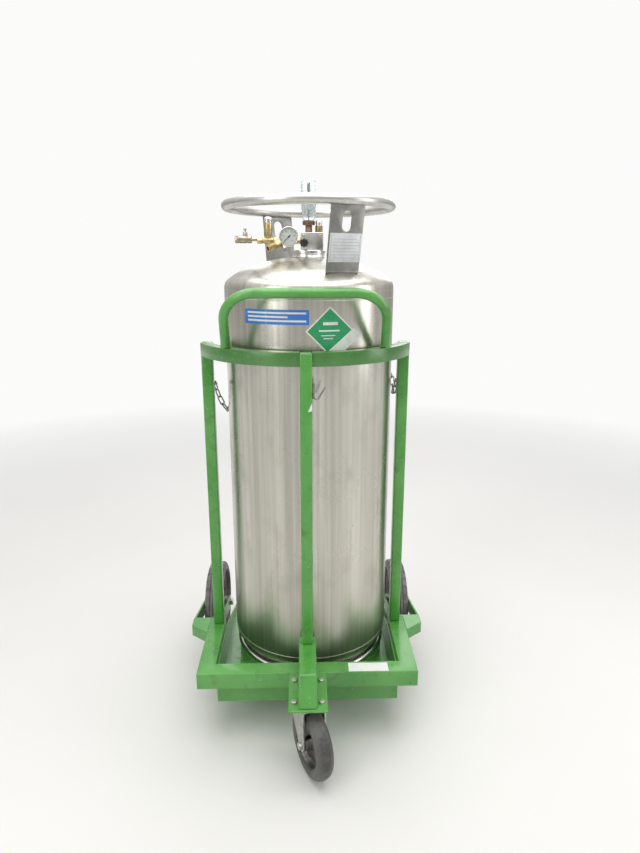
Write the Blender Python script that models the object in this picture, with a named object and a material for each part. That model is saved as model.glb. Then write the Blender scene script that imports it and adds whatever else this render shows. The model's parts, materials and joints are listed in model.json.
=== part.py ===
"""A liquid nitrogen dewar standing in its wheeled steel cart.

Metres, +Z up, floor at z = 0. The pieces are placed from the dewar's axis (y = 0) and the
cart's centre plane (x = 0), with -Y towards the caster and the push handle. At the end the
whole cart is centred front to back, so that the origin is under the middle of its box.
Left and right are as seen from the handle end, looking along +Y.
"""

from math import acos, asin, cos, hypot, pi, radians, sin, tan

import bmesh
import bpy
from mathutils import Vector

# ---- fits and smoothness ----
GAP = 0.0003                # clearance between pieces that touch
RUNNING_GAP = 0.0006        # clearance round a turning shaft
VESSEL_STEPS = 32           # facets round the shell, foot ring and handling ring
INNER_STEPS = 20            # facets round the inner vessel
WHEEL_STEPS = 24            # facets round the wheels
ROUND_STEPS = 20            # facets round flanges and the dial gauge
SMALL_STEPS = 12            # facets round fittings
BOLT_STEPS = 10             # facets round bolts and rods

# ---- dewar shell and the cart's width round it ----
DEWAR_X = 0.012
SHELL_RADIUS = 0.254
SHELL_SIDE_CLEARANCE = 0.0112

# ---- cart base frame ----
RAIL_SIZE = 0.0508
FRAME_HALF_WIDTH = DEWAR_X + SHELL_RADIUS + SHELL_SIDE_CLEARANCE + RAIL_SIZE
FRONT_RAIL_CLEARANCE = 0.0322
FRAME_FRONT_Y = -(SHELL_RADIUS + FRONT_RAIL_CLEARANCE + RAIL_SIZE)
RAIL_WALL = 0.0032
RAIL_TOP = 0.240
RAIL_BOTTOM = RAIL_TOP - RAIL_SIZE
RAIL_END_Y = -0.040

# ---- tray ----
TRAY_BOTTOM = 0.106
TRAY_FLOOR = 0.006
TRAY_WALL = 0.004
TRAY_WALL_TOP = 0.214
TRAY_REAR_CLEARANCE = 0.008
TRAY_REAR_Y = SHELL_RADIUS + TRAY_REAR_CLEARANCE
TRAY_TOP = TRAY_BOTTOM + TRAY_FLOOR

# ---- posts, band and push handle ----
POST_SIZE = 0.033
POST_WALL = 0.0028
POST_INSET = 0.016
POST_OUTER_X = FRAME_HALF_WIDTH - POST_INSET
POST_FRONT_Y = -0.073
CAGE_TOP = 1.182
BAND_HEIGHT = 0.038
BAND_DEPTH = 0.034
BAND_WALL = 0.0028
BAND_CLEARANCE = 0.012
BAND_FRONT_Y = -(SHELL_RADIUS + BAND_CLEARANCE + BAND_DEPTH)
BAND_STEPS = 12
CENTRE_POST_CLEARANCE = 0.024
CENTRE_POST_FRONT_Y = -(SHELL_RADIUS + CENTRE_POST_CLEARANCE + POST_SIZE)
HANDLE_TUBE = 0.0267
HANDLE_HALF_WIDTH = 0.222
HANDLE_BAR_HALF_WIDTH = 0.216
HANDLE_TOP = 1.334
HANDLE_TOP_Y = -0.285
HANDLE_BEND = 0.088

# ---- tongue and caster mount ----
TONGUE_WIDTH = 0.0508
TONGUE_HEIGHT = 0.0762
TONGUE_WALL = 0.0032
TONGUE_REAR_Y = -0.266
TONGUE_TIP_Y = -0.494
TONGUE_SLOPE_LENGTH = 0.046
MOUNT_PLATE_WIDTH = 0.108
MOUNT_PLATE_FRONT_Y = -0.4995
MOUNT_PLATE = 0.00635
BOLT_SPACING_X = 0.0766
BOLT_SPACING_Y = 0.092
BOLT_DIAMETER = 0.010
BOLT_HEAD_ACROSS = 0.016
BOLT_HEAD = 0.0064

# ---- caster ----
SWIVEL_Y = -0.426
CASTER_YAW = radians(24.0)
CASTER_RADIUS = 0.1016
CASTER_WIDTH = 0.050
CASTER_TRAIL = 0.030
CASTER_TOP_PLATE = 0.0055
CASTER_TOP_LENGTH = 0.1143
CASTER_TOP_WIDTH = 0.1016
RACE_RADIUS = 0.040
RACE_HEIGHT = 0.0100
FORK_PLATE = 0.0055
FORK_CLEARANCE = 0.0055
FORK_TOP_HALF_LENGTH = 0.044
FORK_END_RADIUS = 0.017
KINGPIN_RADIUS = 0.0095
CASTER_AXLE_RADIUS = 0.006
CASTER_RIM_RADIUS = 0.070
CASTER_HUB_RADIUS = 0.022

# ---- rear wheels and their brackets ----
WHEEL_RADIUS = 0.1524
WHEEL_WIDTH = 0.0635
WHEEL_OFFSET = 0.011
WHEEL_X = FRAME_HALF_WIDTH + WHEEL_OFFSET
WHEEL_Y = 0.2175
WHEEL_RIM_RADIUS = 0.100
WHEEL_HUB_RADIUS = 0.026
WHEEL_SIDE_CLEARANCE = 0.007
ARM_PLATE = 0.007
ARM_END_RADIUS = 0.024
ARM_ROOT_DEPTH = 0.042
BRACKET_PLATE = 0.006
BAY_HEIGHT = 0.038
BAY_FRONT_Y = -0.123
BAY_CORNER_Y = -0.080
AXLE_RADIUS = 0.008
AXLE_HEAD_ACROSS = 0.024
AXLE_HEAD = 0.009

# ---- chain and hook ----
CHAIN_WIRE = 0.0044
CHAIN_WIDTH = 0.0170
CHAIN_PITCH = 0.0275
CHAIN_BITE = 0.0009
CHAIN_SHELL_GAP = 0.0022
CHAIN_SIDES = 4
CHAIN_TWIST = radians(17.0)
CHAIN_BACK_POINTS = 14
EYE_RADIUS = 0.0100
EYE_WIRE = 0.0056
CHAIN_LEFT_Z = 1.050
CHAIN_LEFT_SHELL_Z = 0.956
CHAIN_RIGHT_SHELL_Z = 1.066
CHAIN_RIGHT_Z = 1.056
CHAIN_DIP_Z = 1.034
HOOK_WIRE = 0.0050
HOOK_Z = 1.057
HOOK_DROP = 0.033
HOOK_REACH = 0.031
HOOK_TAB = (0.007, 0.005, 0.042)

# ---- dewar vessels ----
SHELL_WALL = 0.003
SHELL_BOTTOM = 0.152
SHELL_KNUCKLE_Z = 0.222
SHELL_SHOULDER_Z = 1.338
SHELL_TOP = 1.426
NECK_HOLE_RADIUS = 0.026
FOOT_INSET = 0.0095
FOOT_RADIUS = SHELL_RADIUS - FOOT_INSET
FOOT_WALL = 0.003
FOOT_BEAD_Z = 0.170
VACUUM_GAP = 0.027
INNER_RADIUS = SHELL_RADIUS - SHELL_WALL - VACUUM_GAP
INNER_WALL = 0.0025
INNER_BOTTOM = 0.232
INNER_TOP = 1.330
NECK_TUBE_RADIUS = 0.022
NECK_TUBE_WALL = 0.0015
DIP_TUBE_RADIUS = 0.0064
DIP_TUBE_OFFSET = 0.0138
DIP_TUBE_CLEARANCE = 0.030
COIL_TUBE_RADIUS = 0.0048
COIL_TURNS = 2
COIL_PITCH = 0.055
COIL_BOTTOM = 0.300

# ---- handling ring ----
RING_INSET = 0.014
RING_RADIUS = SHELL_RADIUS - RING_INSET
RING_TUBE_RADIUS = 0.014
RING_Z = 1.569
BRACKET_AZIMUTH = radians(25.0)
BRACKET_WIDTH = 0.100
BRACKET_THICKNESS = 0.006
BRACKET_FOOT_INSET = 0.0455
BRACKET_FOOT_RADIUS = SHELL_RADIUS - BRACKET_FOOT_INSET
SLOT_WIDTH = 0.028
SLOT_LENGTH = 0.052
SLOT_CENTRE_Z = 1.5155
DATA_PLATE = (0.096, 0.0012, 0.074)

# ---- head fittings ----
FLANGE_RADIUS = 0.049
FLANGE_HEIGHT = 0.020
BLOCK_LEFT_X = -0.012
BLOCK_RIGHT_X = 0.054
BLOCK_FRONT_Y = -0.036
BLOCK_REAR_Y = 0.022
BLOCK_HEIGHT = 0.0495
GAUGE_BASE_ACROSS = 0.032
GAUGE_STEM_RADIUS = 0.0105
GAUGE_BASE_HEIGHT = 0.013
GAUGE_STEM_HEIGHT = 0.0215
SIGHT_TUBE_RADIUS = 0.0220
SIGHT_TUBE_WALL = 0.003
SIGHT_TUBE_LENGTH = 0.1138
FLOAT_ROD_RADIUS = 0.0020
BORE_RADIUS = FLOAT_ROD_RADIUS + 0.0004
FLOAT_TIP_RADIUS = 0.0055
FLOAT_TIP_CLEARANCE = 0.0080
FLOAT_TIP_LENGTH = 0.027
FLOAT_RADIUS = 0.0066
FLOAT_LENGTH = 0.380
FLOAT_BOTTOM = 0.480
RELIEF_LINE_Y = -0.020
RELIEF_LINE_Z = 1.4735
RELIEF_LINE_RADIUS = 0.0095
RELIEF_LINE_LEFT_X = -0.140
RELIEF_VALVE_X = -0.107
RELIEF_VALVE_RADIUS = 0.013
RELIEF_CAP_RADIUS = 0.0108
RELIEF_VALVE_TOP = 1.540
COUPLING_RADIUS = 0.011
COUPLING_LENGTH = 0.049
NIPPLE_RADIUS = 0.005
NIPPLE_LENGTH = 0.015
DISC_HOLDER_X = 0.042
DISC_HOLDER_RADIUS = 0.0112
DISC_HOLDER_HEIGHT = 0.0345
OUTLET_RADIUS = 0.0100
OUTLET_X = -0.061
OUTLET_REACH = (-0.046, -0.036, -0.024)
GAUGE_X = -0.045
GAUGE_Z = 1.481
GAUGE_FACE_Y = -0.106
GAUGE_RADIUS = 0.0275
GAUGE_DEPTH = 0.028
GAUGE_RIM = 0.0025
GAUGE_STEM = 0.0065
LENS_THICKNESS = 0.002
NEEDLE_LENGTH = 0.019
NEEDLE_WIDTH = 0.0022
NEEDLE_THICKNESS = 0.0008
NEEDLE_AZIMUTH = radians(225.0)
VALVE_Z = 1.4655
VALVE_BONNET_RADIUS = 0.0085
VALVE_BONNET_LENGTH = 0.036
VALVE_STEM_RADIUS = 0.004
KNOB_ACROSS = 0.026
KNOB_LENGTH = 0.020
KNOB_SIDES = 8
VENT_VALVE_X = -0.002
LIQUID_VALVE_X = 0.006
BUILDER_VALVE_X = 0.038


# ---- materials ----

def material(name, colour, roughness, metallic=0.0, alpha=1.0):
    """A plain Principled BSDF finish."""
    made = bpy.data.materials.new(name)
    made.use_nodes = True
    shader = made.node_tree.nodes["Principled BSDF"]
    shader.inputs["Base Color"].default_value = (*colour, 1.0)
    shader.inputs["Roughness"].default_value = roughness
    shader.inputs["Metallic"].default_value = metallic
    shader.inputs["Alpha"].default_value = alpha
    made.diffuse_color = (*colour, alpha)
    return made


def make_materials():
    return {
        "green_paint": material("green_paint", (0.06, 0.33, 0.09), 0.38),
        "stainless": material("stainless", (0.60, 0.59, 0.56), 0.28, 1.0),
        "bright_steel": material("bright_steel", (0.72, 0.72, 0.70), 0.22, 1.0),
        "zinc": material("zinc", (0.62, 0.62, 0.58), 0.42, 1.0),
        "dark_steel": material("dark_steel", (0.12, 0.12, 0.12), 0.45, 0.8),
        "brass": material("brass", (0.62, 0.50, 0.24), 0.35, 1.0),
        "bronze": material("bronze", (0.26, 0.18, 0.13), 0.45, 0.8),
        "copper": material("copper", (0.72, 0.38, 0.24), 0.35, 1.0),
        "tread_rubber": material("tread_rubber", (0.09, 0.09, 0.09), 0.75),
        "caster_rubber": material("caster_rubber", (0.05, 0.05, 0.055), 0.55),
        "black_plastic": material("black_plastic", (0.03, 0.03, 0.03), 0.45),
        "clear_plastic": material("clear_plastic", (0.85, 0.95, 0.95), 0.10, 0.0, 0.3),
        "white_plate": material("white_plate", (0.80, 0.80, 0.78), 0.40),
    }


# ---- modelling helpers ----

def add_object(name, data, finish, parent, location=(0, 0, 0)):
    made = bpy.data.objects.new(name, data)
    bpy.context.scene.collection.objects.link(made)
    made.parent = parent
    made.location = location
    if finish:
        data.materials.append(finish)
    return made


def mesh_object(name, bm, finish, parent, location=(0, 0, 0)):
    """Turns a bmesh into an object with outward faces, smooth over its shallow edges."""
    bmesh.ops.recalc_face_normals(bm, faces=bm.faces)
    mesh = bpy.data.meshes.new(name)
    bm.to_mesh(mesh)
    bm.free()
    mesh.shade_smooth()
    mesh.set_sharp_from_angle(angle=radians(35.0))
    return add_object(name, mesh, finish, parent, location)


def add_empty(name, parent, location, yaw=0.0):
    made = bpy.data.objects.new(name, None)
    bpy.context.scene.collection.objects.link(made)
    made.parent = parent
    made.location = location
    made.rotation_euler.z = yaw
    return made


def boolean(piece, other, operation):
    """Cuts the other solid from the piece, or joins it on, and hides the other one."""
    change = piece.modifiers.new(operation.lower(), "BOOLEAN")
    change.operation = operation
    change.solver = "EXACT"
    change.object = other
    other.hide_render = True
    other.display_type = "WIRE"


def bevelled(piece, width, segments=2, angle=radians(50.0)):
    change = piece.modifiers.new("bevel", "BEVEL")
    change.width = width
    change.segments = segments
    change.limit_method = "ANGLE"
    change.angle_limit = angle
    return piece


def axes_for(axis):
    """Two directions across an axis, and the axis itself."""
    along = Vector(axis).normalized()
    side = Vector((0, 0, 1)) if abs(along.z) < 0.9 else Vector((1, 0, 0))
    first = side.cross(along).normalized()
    return first, along.cross(first), along


def turned(name, profile, finish, parent, location=(0, 0, 0), axis=(0, 0, 1), steps=SMALL_STEPS,
           closed=False, phase=0.0):
    """A profile of (radius, height) points spun round an axis.

    An open profile starts and ends on the axis; a closed one goes round a bore.
    """
    first, second, along = axes_for(axis)
    out = first * cos(phase) + second * sin(phase)
    bm = bmesh.new()
    points = [bm.verts.new(out * radius + along * height) for radius, height in profile]
    edges = [bm.edges.new(pair) for pair in zip(points, points[1:])]
    if closed:
        edges.append(bm.edges.new((points[-1], points[0])))
    bmesh.ops.spin(bm, geom=points + edges, cent=(0, 0, 0), axis=along, angle=2 * pi,
                   steps=steps, use_duplicate=False)
    bmesh.ops.remove_doubles(bm, verts=bm.verts, dist=1e-6)
    return mesh_object(name, bm, finish, parent, location)


def prism(name, outline, finish, parent, start, end, plane="XY"):
    """An outline drawn in a plane and extruded along the plane's normal."""
    place = {"XY": lambda a, b, c: (a, b, c), "YZ": lambda a, b, c: (c, a, b),
             "XZ": lambda a, b, c: (a, c, b)}[plane]
    bm = bmesh.new()
    face = bm.faces.new([bm.verts.new(place(a, b, start)) for a, b in outline])
    moved = bmesh.ops.extrude_face_region(bm, geom=[face])["geom"]
    step = Vector(place(0, 0, end - start))
    bmesh.ops.translate(bm, vec=step, verts=[v for v in moved if isinstance(v, bmesh.types.BMVert)])
    return mesh_object(name, bm, finish, parent)


def block(name, low, high, finish, parent):
    return prism(name, [(low[0], low[1]), (high[0], low[1]), (high[0], high[1]), (low[0], high[1])],
                 finish, parent, low[2], high[2])


def arc(centre, radius, start, end, count):
    """Points along an arc, its ends included."""
    return [(centre[0] + radius * cos(start + (end - start) * i / count),
             centre[1] + radius * sin(start + (end - start) * i / count)) for i in range(count + 1)]


def loft(name, rings, finish, parent, cap=True):
    """Skins a row of equal rings of points; the ends are capped, or left as they are."""
    bm = bmesh.new()
    made = [[bm.verts.new(point) for point in ring] for ring in rings]
    for near, far in zip(made, made[1:]):
        for i in range(len(near)):
            j = (i + 1) % len(near)
            bm.faces.new((near[i], near[j], far[j], far[i]))
    if cap:
        bm.faces.new(made[0])
        bm.faces.new(made[-1])
    return mesh_object(name, bm, finish, parent)


def hollow_loft(name, outer_rings, inner_rings, finish, parent):
    """A walled tube: outer and inner rings skinned, and joined at both open ends."""
    bm = bmesh.new()
    outer = [[bm.verts.new(point) for point in ring] for ring in outer_rings]
    inner = [[bm.verts.new(point) for point in ring] for ring in inner_rings]
    count = len(outer[0])
    for rows in (outer, inner):
        for near, far in zip(rows, rows[1:]):
            for i in range(count):
                j = (i + 1) % count
                bm.faces.new((near[i], near[j], far[j], far[i]))
    for end in (0, -1):
        for i in range(count):
            j = (i + 1) % count
            bm.faces.new((outer[end][i], outer[end][j], inner[end][j], inner[end][i]))
    return mesh_object(name, bm, finish, parent)


def smooth_route(points, per_span):
    """A Catmull-Rom curve through the points."""
    points = [Vector(p) for p in points]
    padded = [2 * points[0] - points[1], *points, 2 * points[-1] - points[-2]]
    route = []
    for a, b, c, d in zip(padded, padded[1:], padded[2:], padded[3:]):
        for i in range(per_span):
            t = i / per_span
            route.append(0.5 * (2 * b + (c - a) * t + (2 * a - 5 * b + 4 * c - d) * t ** 2
                                + (3 * b - a - 3 * c + d) * t ** 3))
    return [*route, points[-1]]


def spaced(route, count):
    """Points at equal steps along a route, as (point, direction) pairs at each step's middle."""
    lengths = [0.0]
    for a, b in zip(route, route[1:]):
        lengths.append(lengths[-1] + (b - a).length)

    def at(distance):
        for i, total in enumerate(lengths[1:]):
            if distance <= total or i == len(lengths) - 2:
                share = (distance - lengths[i]) / (total - lengths[i])
                return route[i].lerp(route[i + 1], share)

    step = lengths[-1] / count
    ends = [at(step * i) for i in range(count + 1)]
    return [((a + b) / 2, (b - a).normalized(), (b - a).length) for a, b in zip(ends, ends[1:])]


def rod(name, points, radius, finish, parent, resolution=2, cyclic=False):
    """A round bar or tube blank along points."""
    curve = bpy.data.curves.new(name, "CURVE")
    curve.dimensions = "3D"
    curve.bevel_depth = radius
    curve.bevel_resolution = resolution
    curve.use_fill_caps = True
    spline = curve.splines.new("POLY")
    spline.points.add(len(points) - 1)
    for target, point in zip(spline.points, points):
        target.co = (*point, 1.0)
    spline.use_cyclic_u = cyclic
    return add_object(name, curve, finish, parent)


def as_mesh(curve_object):
    """The same bar as a mesh, which a Boolean can take."""
    mesh = bpy.data.meshes.new_from_object(curve_object)
    name, parent = curve_object.name, curve_object.parent
    bpy.data.objects.remove(curve_object, do_unlink=True)
    return add_object(name, mesh, None, parent)


# ---- cart ----

def make_base_frame(root, finish):
    """A U of square tube, open to the rear, with mitred front corners."""
    def ring(x_outer, x_inner, y_outer, y_inner, inset):
        low, high = RAIL_BOTTOM + inset, RAIL_TOP - inset
        return [(x_outer, y_outer, low), (x_inner, y_inner, low),
                (x_inner, y_inner, high), (x_outer, y_outer, high)]

    def rings(inset):
        outer_x = FRAME_HALF_WIDTH - inset
        inner_x = FRAME_HALF_WIDTH - RAIL_SIZE + inset
        outer_y = FRAME_FRONT_Y + inset
        inner_y = FRAME_FRONT_Y + RAIL_SIZE - inset
        return [ring(-outer_x, -inner_x, RAIL_END_Y, RAIL_END_Y, inset),
                ring(-outer_x, -inner_x, outer_y, inner_y, inset),
                ring(outer_x, inner_x, outer_y, inner_y, inset),
                ring(outer_x, inner_x, RAIL_END_Y, RAIL_END_Y, inset)]

    return hollow_loft("base_frame", rings(0), rings(RAIL_WALL), finish, root)


def make_tray(root, finish):
    """A folded pan hung inside the rails, open to the rear."""
    side = FRAME_HALF_WIDTH - RAIL_SIZE - GAP
    front = FRAME_FRONT_Y + RAIL_SIZE + GAP
    tray = block("tray_pan", (-side, front, TRAY_BOTTOM), (side, TRAY_REAR_Y, TRAY_WALL_TOP),
                 finish, root)
    hollow = block("tray_hollow", (-side + TRAY_WALL, front + TRAY_WALL, TRAY_TOP),
                   (side - TRAY_WALL, TRAY_REAR_Y + TRAY_WALL, TRAY_WALL_TOP + TRAY_WALL), None, root)
    boolean(tray, hollow, "DIFFERENCE")
    slope = [(RAIL_END_Y, TRAY_WALL_TOP + TRAY_WALL), (RAIL_END_Y, TRAY_WALL_TOP),
             (TRAY_REAR_Y, TRAY_TOP + TRAY_FLOOR), (TRAY_REAR_Y + TRAY_WALL, TRAY_TOP + TRAY_FLOOR),
             (TRAY_REAR_Y + TRAY_WALL, TRAY_WALL_TOP + TRAY_WALL)]
    trim = prism("tray_trim", slope, None, root, -side - TRAY_WALL, side + TRAY_WALL, "YZ")
    boolean(tray, trim, "DIFFERENCE")
    return tray


def square_post(name, x, y, bottom, top, finish, root):
    """An upright square tube centred on x and y."""
    def ring(half, z):
        return [(x - half, y - half, z), (x + half, y - half, z),
                (x + half, y + half, z), (x - half, y + half, z)]

    outer, inner = POST_SIZE / 2, POST_SIZE / 2 - POST_WALL
    return hollow_loft(name, [ring(outer, bottom), ring(outer, top)],
                       [ring(inner, bottom), ring(inner, top)], finish, root)


def band_circle():
    """Centre and outer radius of the band: through the side posts' outer corners and its front."""
    reach = POST_FRONT_Y - BAND_FRONT_Y
    radius = (POST_OUTER_X ** 2 + reach ** 2) / (2 * reach)
    return BAND_FRONT_Y + radius, radius


def make_posts(root, finish):
    x = POST_OUTER_X - POST_SIZE / 2
    y = POST_FRONT_Y + POST_SIZE / 2
    square_post("left_post", -x, y, RAIL_TOP + GAP, CAGE_TOP, finish, root)
    square_post("right_post", x, y, RAIL_TOP + GAP, CAGE_TOP, finish, root)
    square_post("centre_post", 0, CENTRE_POST_FRONT_Y + POST_SIZE / 2,
                RAIL_TOP + TONGUE_HEIGHT + 2 * GAP, CAGE_TOP, finish, root)


def make_band(name, side, root, finish):
    """A quarter of rolled rectangular tube between the centre post and a side post."""
    centre_y, outer = band_circle()
    centre_x = POST_SIZE / 2 + GAP
    post_y = POST_FRONT_Y - GAP

    def points(radius, z):
        start = asin(centre_x / radius)
        end = acos((centre_y - post_y) / radius)
        return [(side * radius * sin(a), centre_y - radius * cos(a), z)
                for a in (start + (end - start) * i / BAND_STEPS for i in range(BAND_STEPS + 1))]

    def rings(inset):
        low, high = CAGE_TOP - BAND_HEIGHT + inset, CAGE_TOP - inset
        corners = [points(outer - inset, low), points(outer - BAND_DEPTH + inset, low),
                   points(outer - BAND_DEPTH + inset, high), points(outer - inset, high)]
        return [list(ring) for ring in zip(*corners)]

    return hollow_loft(name, rings(0), rings(BAND_WALL), finish, root)


def make_push_handle(root, finish):
    """One bent tube, its feet on the band and its bar leaning out over the handle end."""
    centre_y, outer = band_circle()
    foot_y = centre_y - ((outer - BAND_DEPTH / 2) ** 2 - HANDLE_HALF_WIDTH ** 2) ** 0.5
    foot = Vector((HANDLE_HALF_WIDTH, foot_y, CAGE_TOP + GAP))
    corner = Vector((HANDLE_BAR_HALF_WIDTH, HANDLE_TOP_Y, HANDLE_TOP))
    up = (corner - foot).normalized()
    across = Vector((-1, 0, 0))
    turn = across.angle(-up)
    back = HANDLE_BEND / tan(turn / 2)
    start, end = corner - up * back, corner + across * back
    middle = corner + (across - up).normalized() * (HANDLE_BEND / sin(turn / 2))
    spoke, other = start - middle, end - middle
    span = spoke.angle(other)
    steps = 7
    bend = [middle + (spoke * sin(span * (1 - i / steps)) + other * sin(span * i / steps)) / sin(span)
            for i in range(steps + 1)]
    half = [foot, *bend]
    mirrored = [Vector((-p.x, p.y, p.z)) for p in reversed(half)]
    tilt = HANDLE_TUBE / 2 * hypot(up.x, up.y)
    half[0] = foot + up * (tilt / up.z)
    mirrored[-1] = Vector((-half[0].x, half[0].y, half[0].z))
    return rod("push_handle", half + mirrored, HANDLE_TUBE / 2, finish, root, resolution=3)


def make_tongue(root, finish):
    """The deep box section from the front rail out over the caster, with a sloping end."""
    def ring(inset, y_low, y_high):
        half = TONGUE_WIDTH / 2 - inset
        low, high = RAIL_TOP + GAP + inset, RAIL_TOP + GAP + TONGUE_HEIGHT - inset
        return [(-half, y_low, low), (half, y_low, low), (half, y_high, high), (-half, y_high, high)]

    lean = TONGUE_SLOPE_LENGTH / TONGUE_HEIGHT
    tip_wall = TONGUE_WALL * hypot(1, lean)
    outer = [ring(0, TONGUE_REAR_Y, TONGUE_REAR_Y),
             ring(0, TONGUE_TIP_Y, TONGUE_TIP_Y + TONGUE_SLOPE_LENGTH)]
    tongue = loft("tongue_tube", outer, finish, root)
    inner = [ring(TONGUE_WALL, TONGUE_REAR_Y + 0.01, TONGUE_REAR_Y + 0.01),
             ring(TONGUE_WALL, TONGUE_TIP_Y + tip_wall + lean * TONGUE_WALL,
                  TONGUE_TIP_Y + tip_wall + lean * (TONGUE_HEIGHT - TONGUE_WALL))]
    boolean(tongue, loft("tongue_hollow", inner, None, root), "DIFFERENCE")
    return tongue


def mount_bolt_places():
    centre_y = (FRAME_FRONT_Y - GAP + MOUNT_PLATE_FRONT_Y) / 2
    return [(side * BOLT_SPACING_X / 2, centre_y + end * BOLT_SPACING_Y / 2)
            for end in (-1, 1) for side in (-1, 1)]


def drill(piece, places, radius, bottom, top, root):
    """Plain holes through a plate."""
    for number, (x, y) in enumerate(places, 1):
        hole = turned(f"{piece.name}_hole_{number}",
                      [(0, bottom), (radius, bottom), (radius, top), (0, top)],
                      None, root, (x, y, 0), steps=BOLT_STEPS)
        boolean(piece, hole, "DIFFERENCE")


def make_caster_mount(root, finish, bolt_finish):
    half = MOUNT_PLATE_WIDTH / 2
    bottom = RAIL_TOP - MOUNT_PLATE
    plate = block("caster_mount_plate", (-half, MOUNT_PLATE_FRONT_Y, bottom),
                  (half, FRAME_FRONT_Y - GAP, RAIL_TOP), finish, root)
    hole = BOLT_DIAMETER / 2 + GAP
    drill(plate, mount_bolt_places(), hole, bottom - MOUNT_PLATE, RAIL_TOP + MOUNT_PLATE, root)
    radius = BOLT_DIAMETER / 2
    head = BOLT_HEAD_ACROSS / (2 * cos(pi / 6))
    under = bottom - GAP - CASTER_TOP_PLATE - GAP
    profile = [(0, RAIL_TOP + GAP + BOLT_HEAD), (head - 0.001, RAIL_TOP + GAP + BOLT_HEAD),
               (head, RAIL_TOP + GAP + BOLT_HEAD - 0.001), (head, RAIL_TOP + GAP),
               (radius, RAIL_TOP + GAP), (radius, under), (head, under),
               (head, under - BOLT_HEAD), (0, under - BOLT_HEAD)]
    for number, (x, y) in enumerate(mount_bolt_places(), 1):
        turned(f"caster_bolt_{number}", profile, bolt_finish, root, (x, y, 0), steps=6)


def make_caster(root, finishes):
    """A swivel caster: top plate and kingpin, trailing fork, axle and wheel."""
    top = RAIL_TOP - MOUNT_PLATE - GAP
    plate_bottom = top - CASTER_TOP_PLATE
    zinc = finishes["zinc"]
    half_x, half_y = CASTER_TOP_WIDTH / 2, CASTER_TOP_LENGTH / 2
    centre_y = (FRAME_FRONT_Y - GAP + MOUNT_PLATE_FRONT_Y) / 2
    plate = block("caster_top_plate", (-half_x, centre_y - half_y, plate_bottom),
                  (half_x, centre_y + half_y, top), zinc, root)
    race_bottom = plate_bottom - GAP - RACE_HEIGHT
    crown_bottom = race_bottom - FORK_PLATE
    head = KINGPIN_RADIUS * 1.6
    pin_bottom = crown_bottom - GAP
    pin = turned("kingpin", [(0, top - GAP), (KINGPIN_RADIUS, top - GAP), (KINGPIN_RADIUS, pin_bottom),
                             (head, pin_bottom), (head, pin_bottom - 0.004), (0, pin_bottom - 0.004)],
                 None, root, (0, SWIVEL_Y, 0))
    boolean(plate, pin, "UNION")
    drill(plate, mount_bolt_places(), BOLT_DIAMETER / 2 + GAP, plate_bottom - 0.002, top + 0.002, root)

    swivel = add_empty("caster_swivel_axis", root, (0, SWIVEL_Y, 0), CASTER_YAW)
    inside = CASTER_WIDTH / 2 + FORK_CLEARANCE
    hole = KINGPIN_RADIUS + RUNNING_GAP
    fork = turned("caster_fork", [(0, race_bottom - FORK_PLATE / 2), (RACE_RADIUS, race_bottom - FORK_PLATE / 2),
                                  (RACE_RADIUS, race_bottom + RACE_HEIGHT - 0.003),
                                  (RACE_RADIUS - 0.003, race_bottom + RACE_HEIGHT),
                                  (0, race_bottom + RACE_HEIGHT)],
                  zinc, swivel, steps=ROUND_STEPS)
    crown = block("fork_crown", (-inside - FORK_PLATE / 2, -FORK_TOP_HALF_LENGTH, crown_bottom),
                  (inside + FORK_PLATE / 2, FORK_TOP_HALF_LENGTH, race_bottom), None, swivel)
    boolean(fork, crown, "UNION")
    axle_y, axle_z = -CASTER_TRAIL, CASTER_RADIUS
    end = arc((axle_y, axle_z), FORK_END_RADIUS, pi, 2 * pi, 8)
    leg_outline = [(FORK_TOP_HALF_LENGTH, race_bottom), (-FORK_TOP_HALF_LENGTH, race_bottom),
                   (-FORK_TOP_HALF_LENGTH, race_bottom - 0.022), *end,
                   (FORK_TOP_HALF_LENGTH, race_bottom - 0.022)]
    for side in (-1, 1):
        near, far = sorted((side * inside, side * (inside + FORK_PLATE)))
        boolean(fork, prism(f"fork_leg_{side}", leg_outline, None, swivel, near, far, "YZ"), "UNION")
    bore = turned("fork_bore", [(0, crown_bottom - 0.01), (hole, crown_bottom - 0.01),
                                (hole, plate_bottom + 0.01), (0, plate_bottom + 0.01)], None, swivel)
    boolean(fork, bore, "DIFFERENCE")
    axle_hole = CASTER_AXLE_RADIUS + GAP
    reach = inside + FORK_PLATE + 0.01
    drilling = turned("fork_axle_hole", [(0, -reach), (axle_hole, -reach), (axle_hole, reach), (0, reach)],
                      None, swivel, (0, axle_y, axle_z), (1, 0, 0), steps=BOLT_STEPS)
    boolean(fork, drilling, "DIFFERENCE")

    face = inside + FORK_PLATE + GAP
    head = CASTER_AXLE_RADIUS * 1.75
    turned("caster_axle", [(0, face + 0.007), (head, face + 0.007), (head, face), (CASTER_AXLE_RADIUS, face),
                           (CASTER_AXLE_RADIUS, -face), (head, -face), (head, -face - 0.007),
                           (0, -face - 0.007)],
           zinc, swivel, (0, axle_y, axle_z), (1, 0, 0), steps=BOLT_STEPS)
    make_wheel("caster", swivel, (0, axle_y, axle_z), CASTER_RADIUS, CASTER_WIDTH, CASTER_RIM_RADIUS,
               CASTER_HUB_RADIUS, CASTER_AXLE_RADIUS, inside - GAP,
               finishes["caster_rubber"], finishes["dark_steel"])


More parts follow.
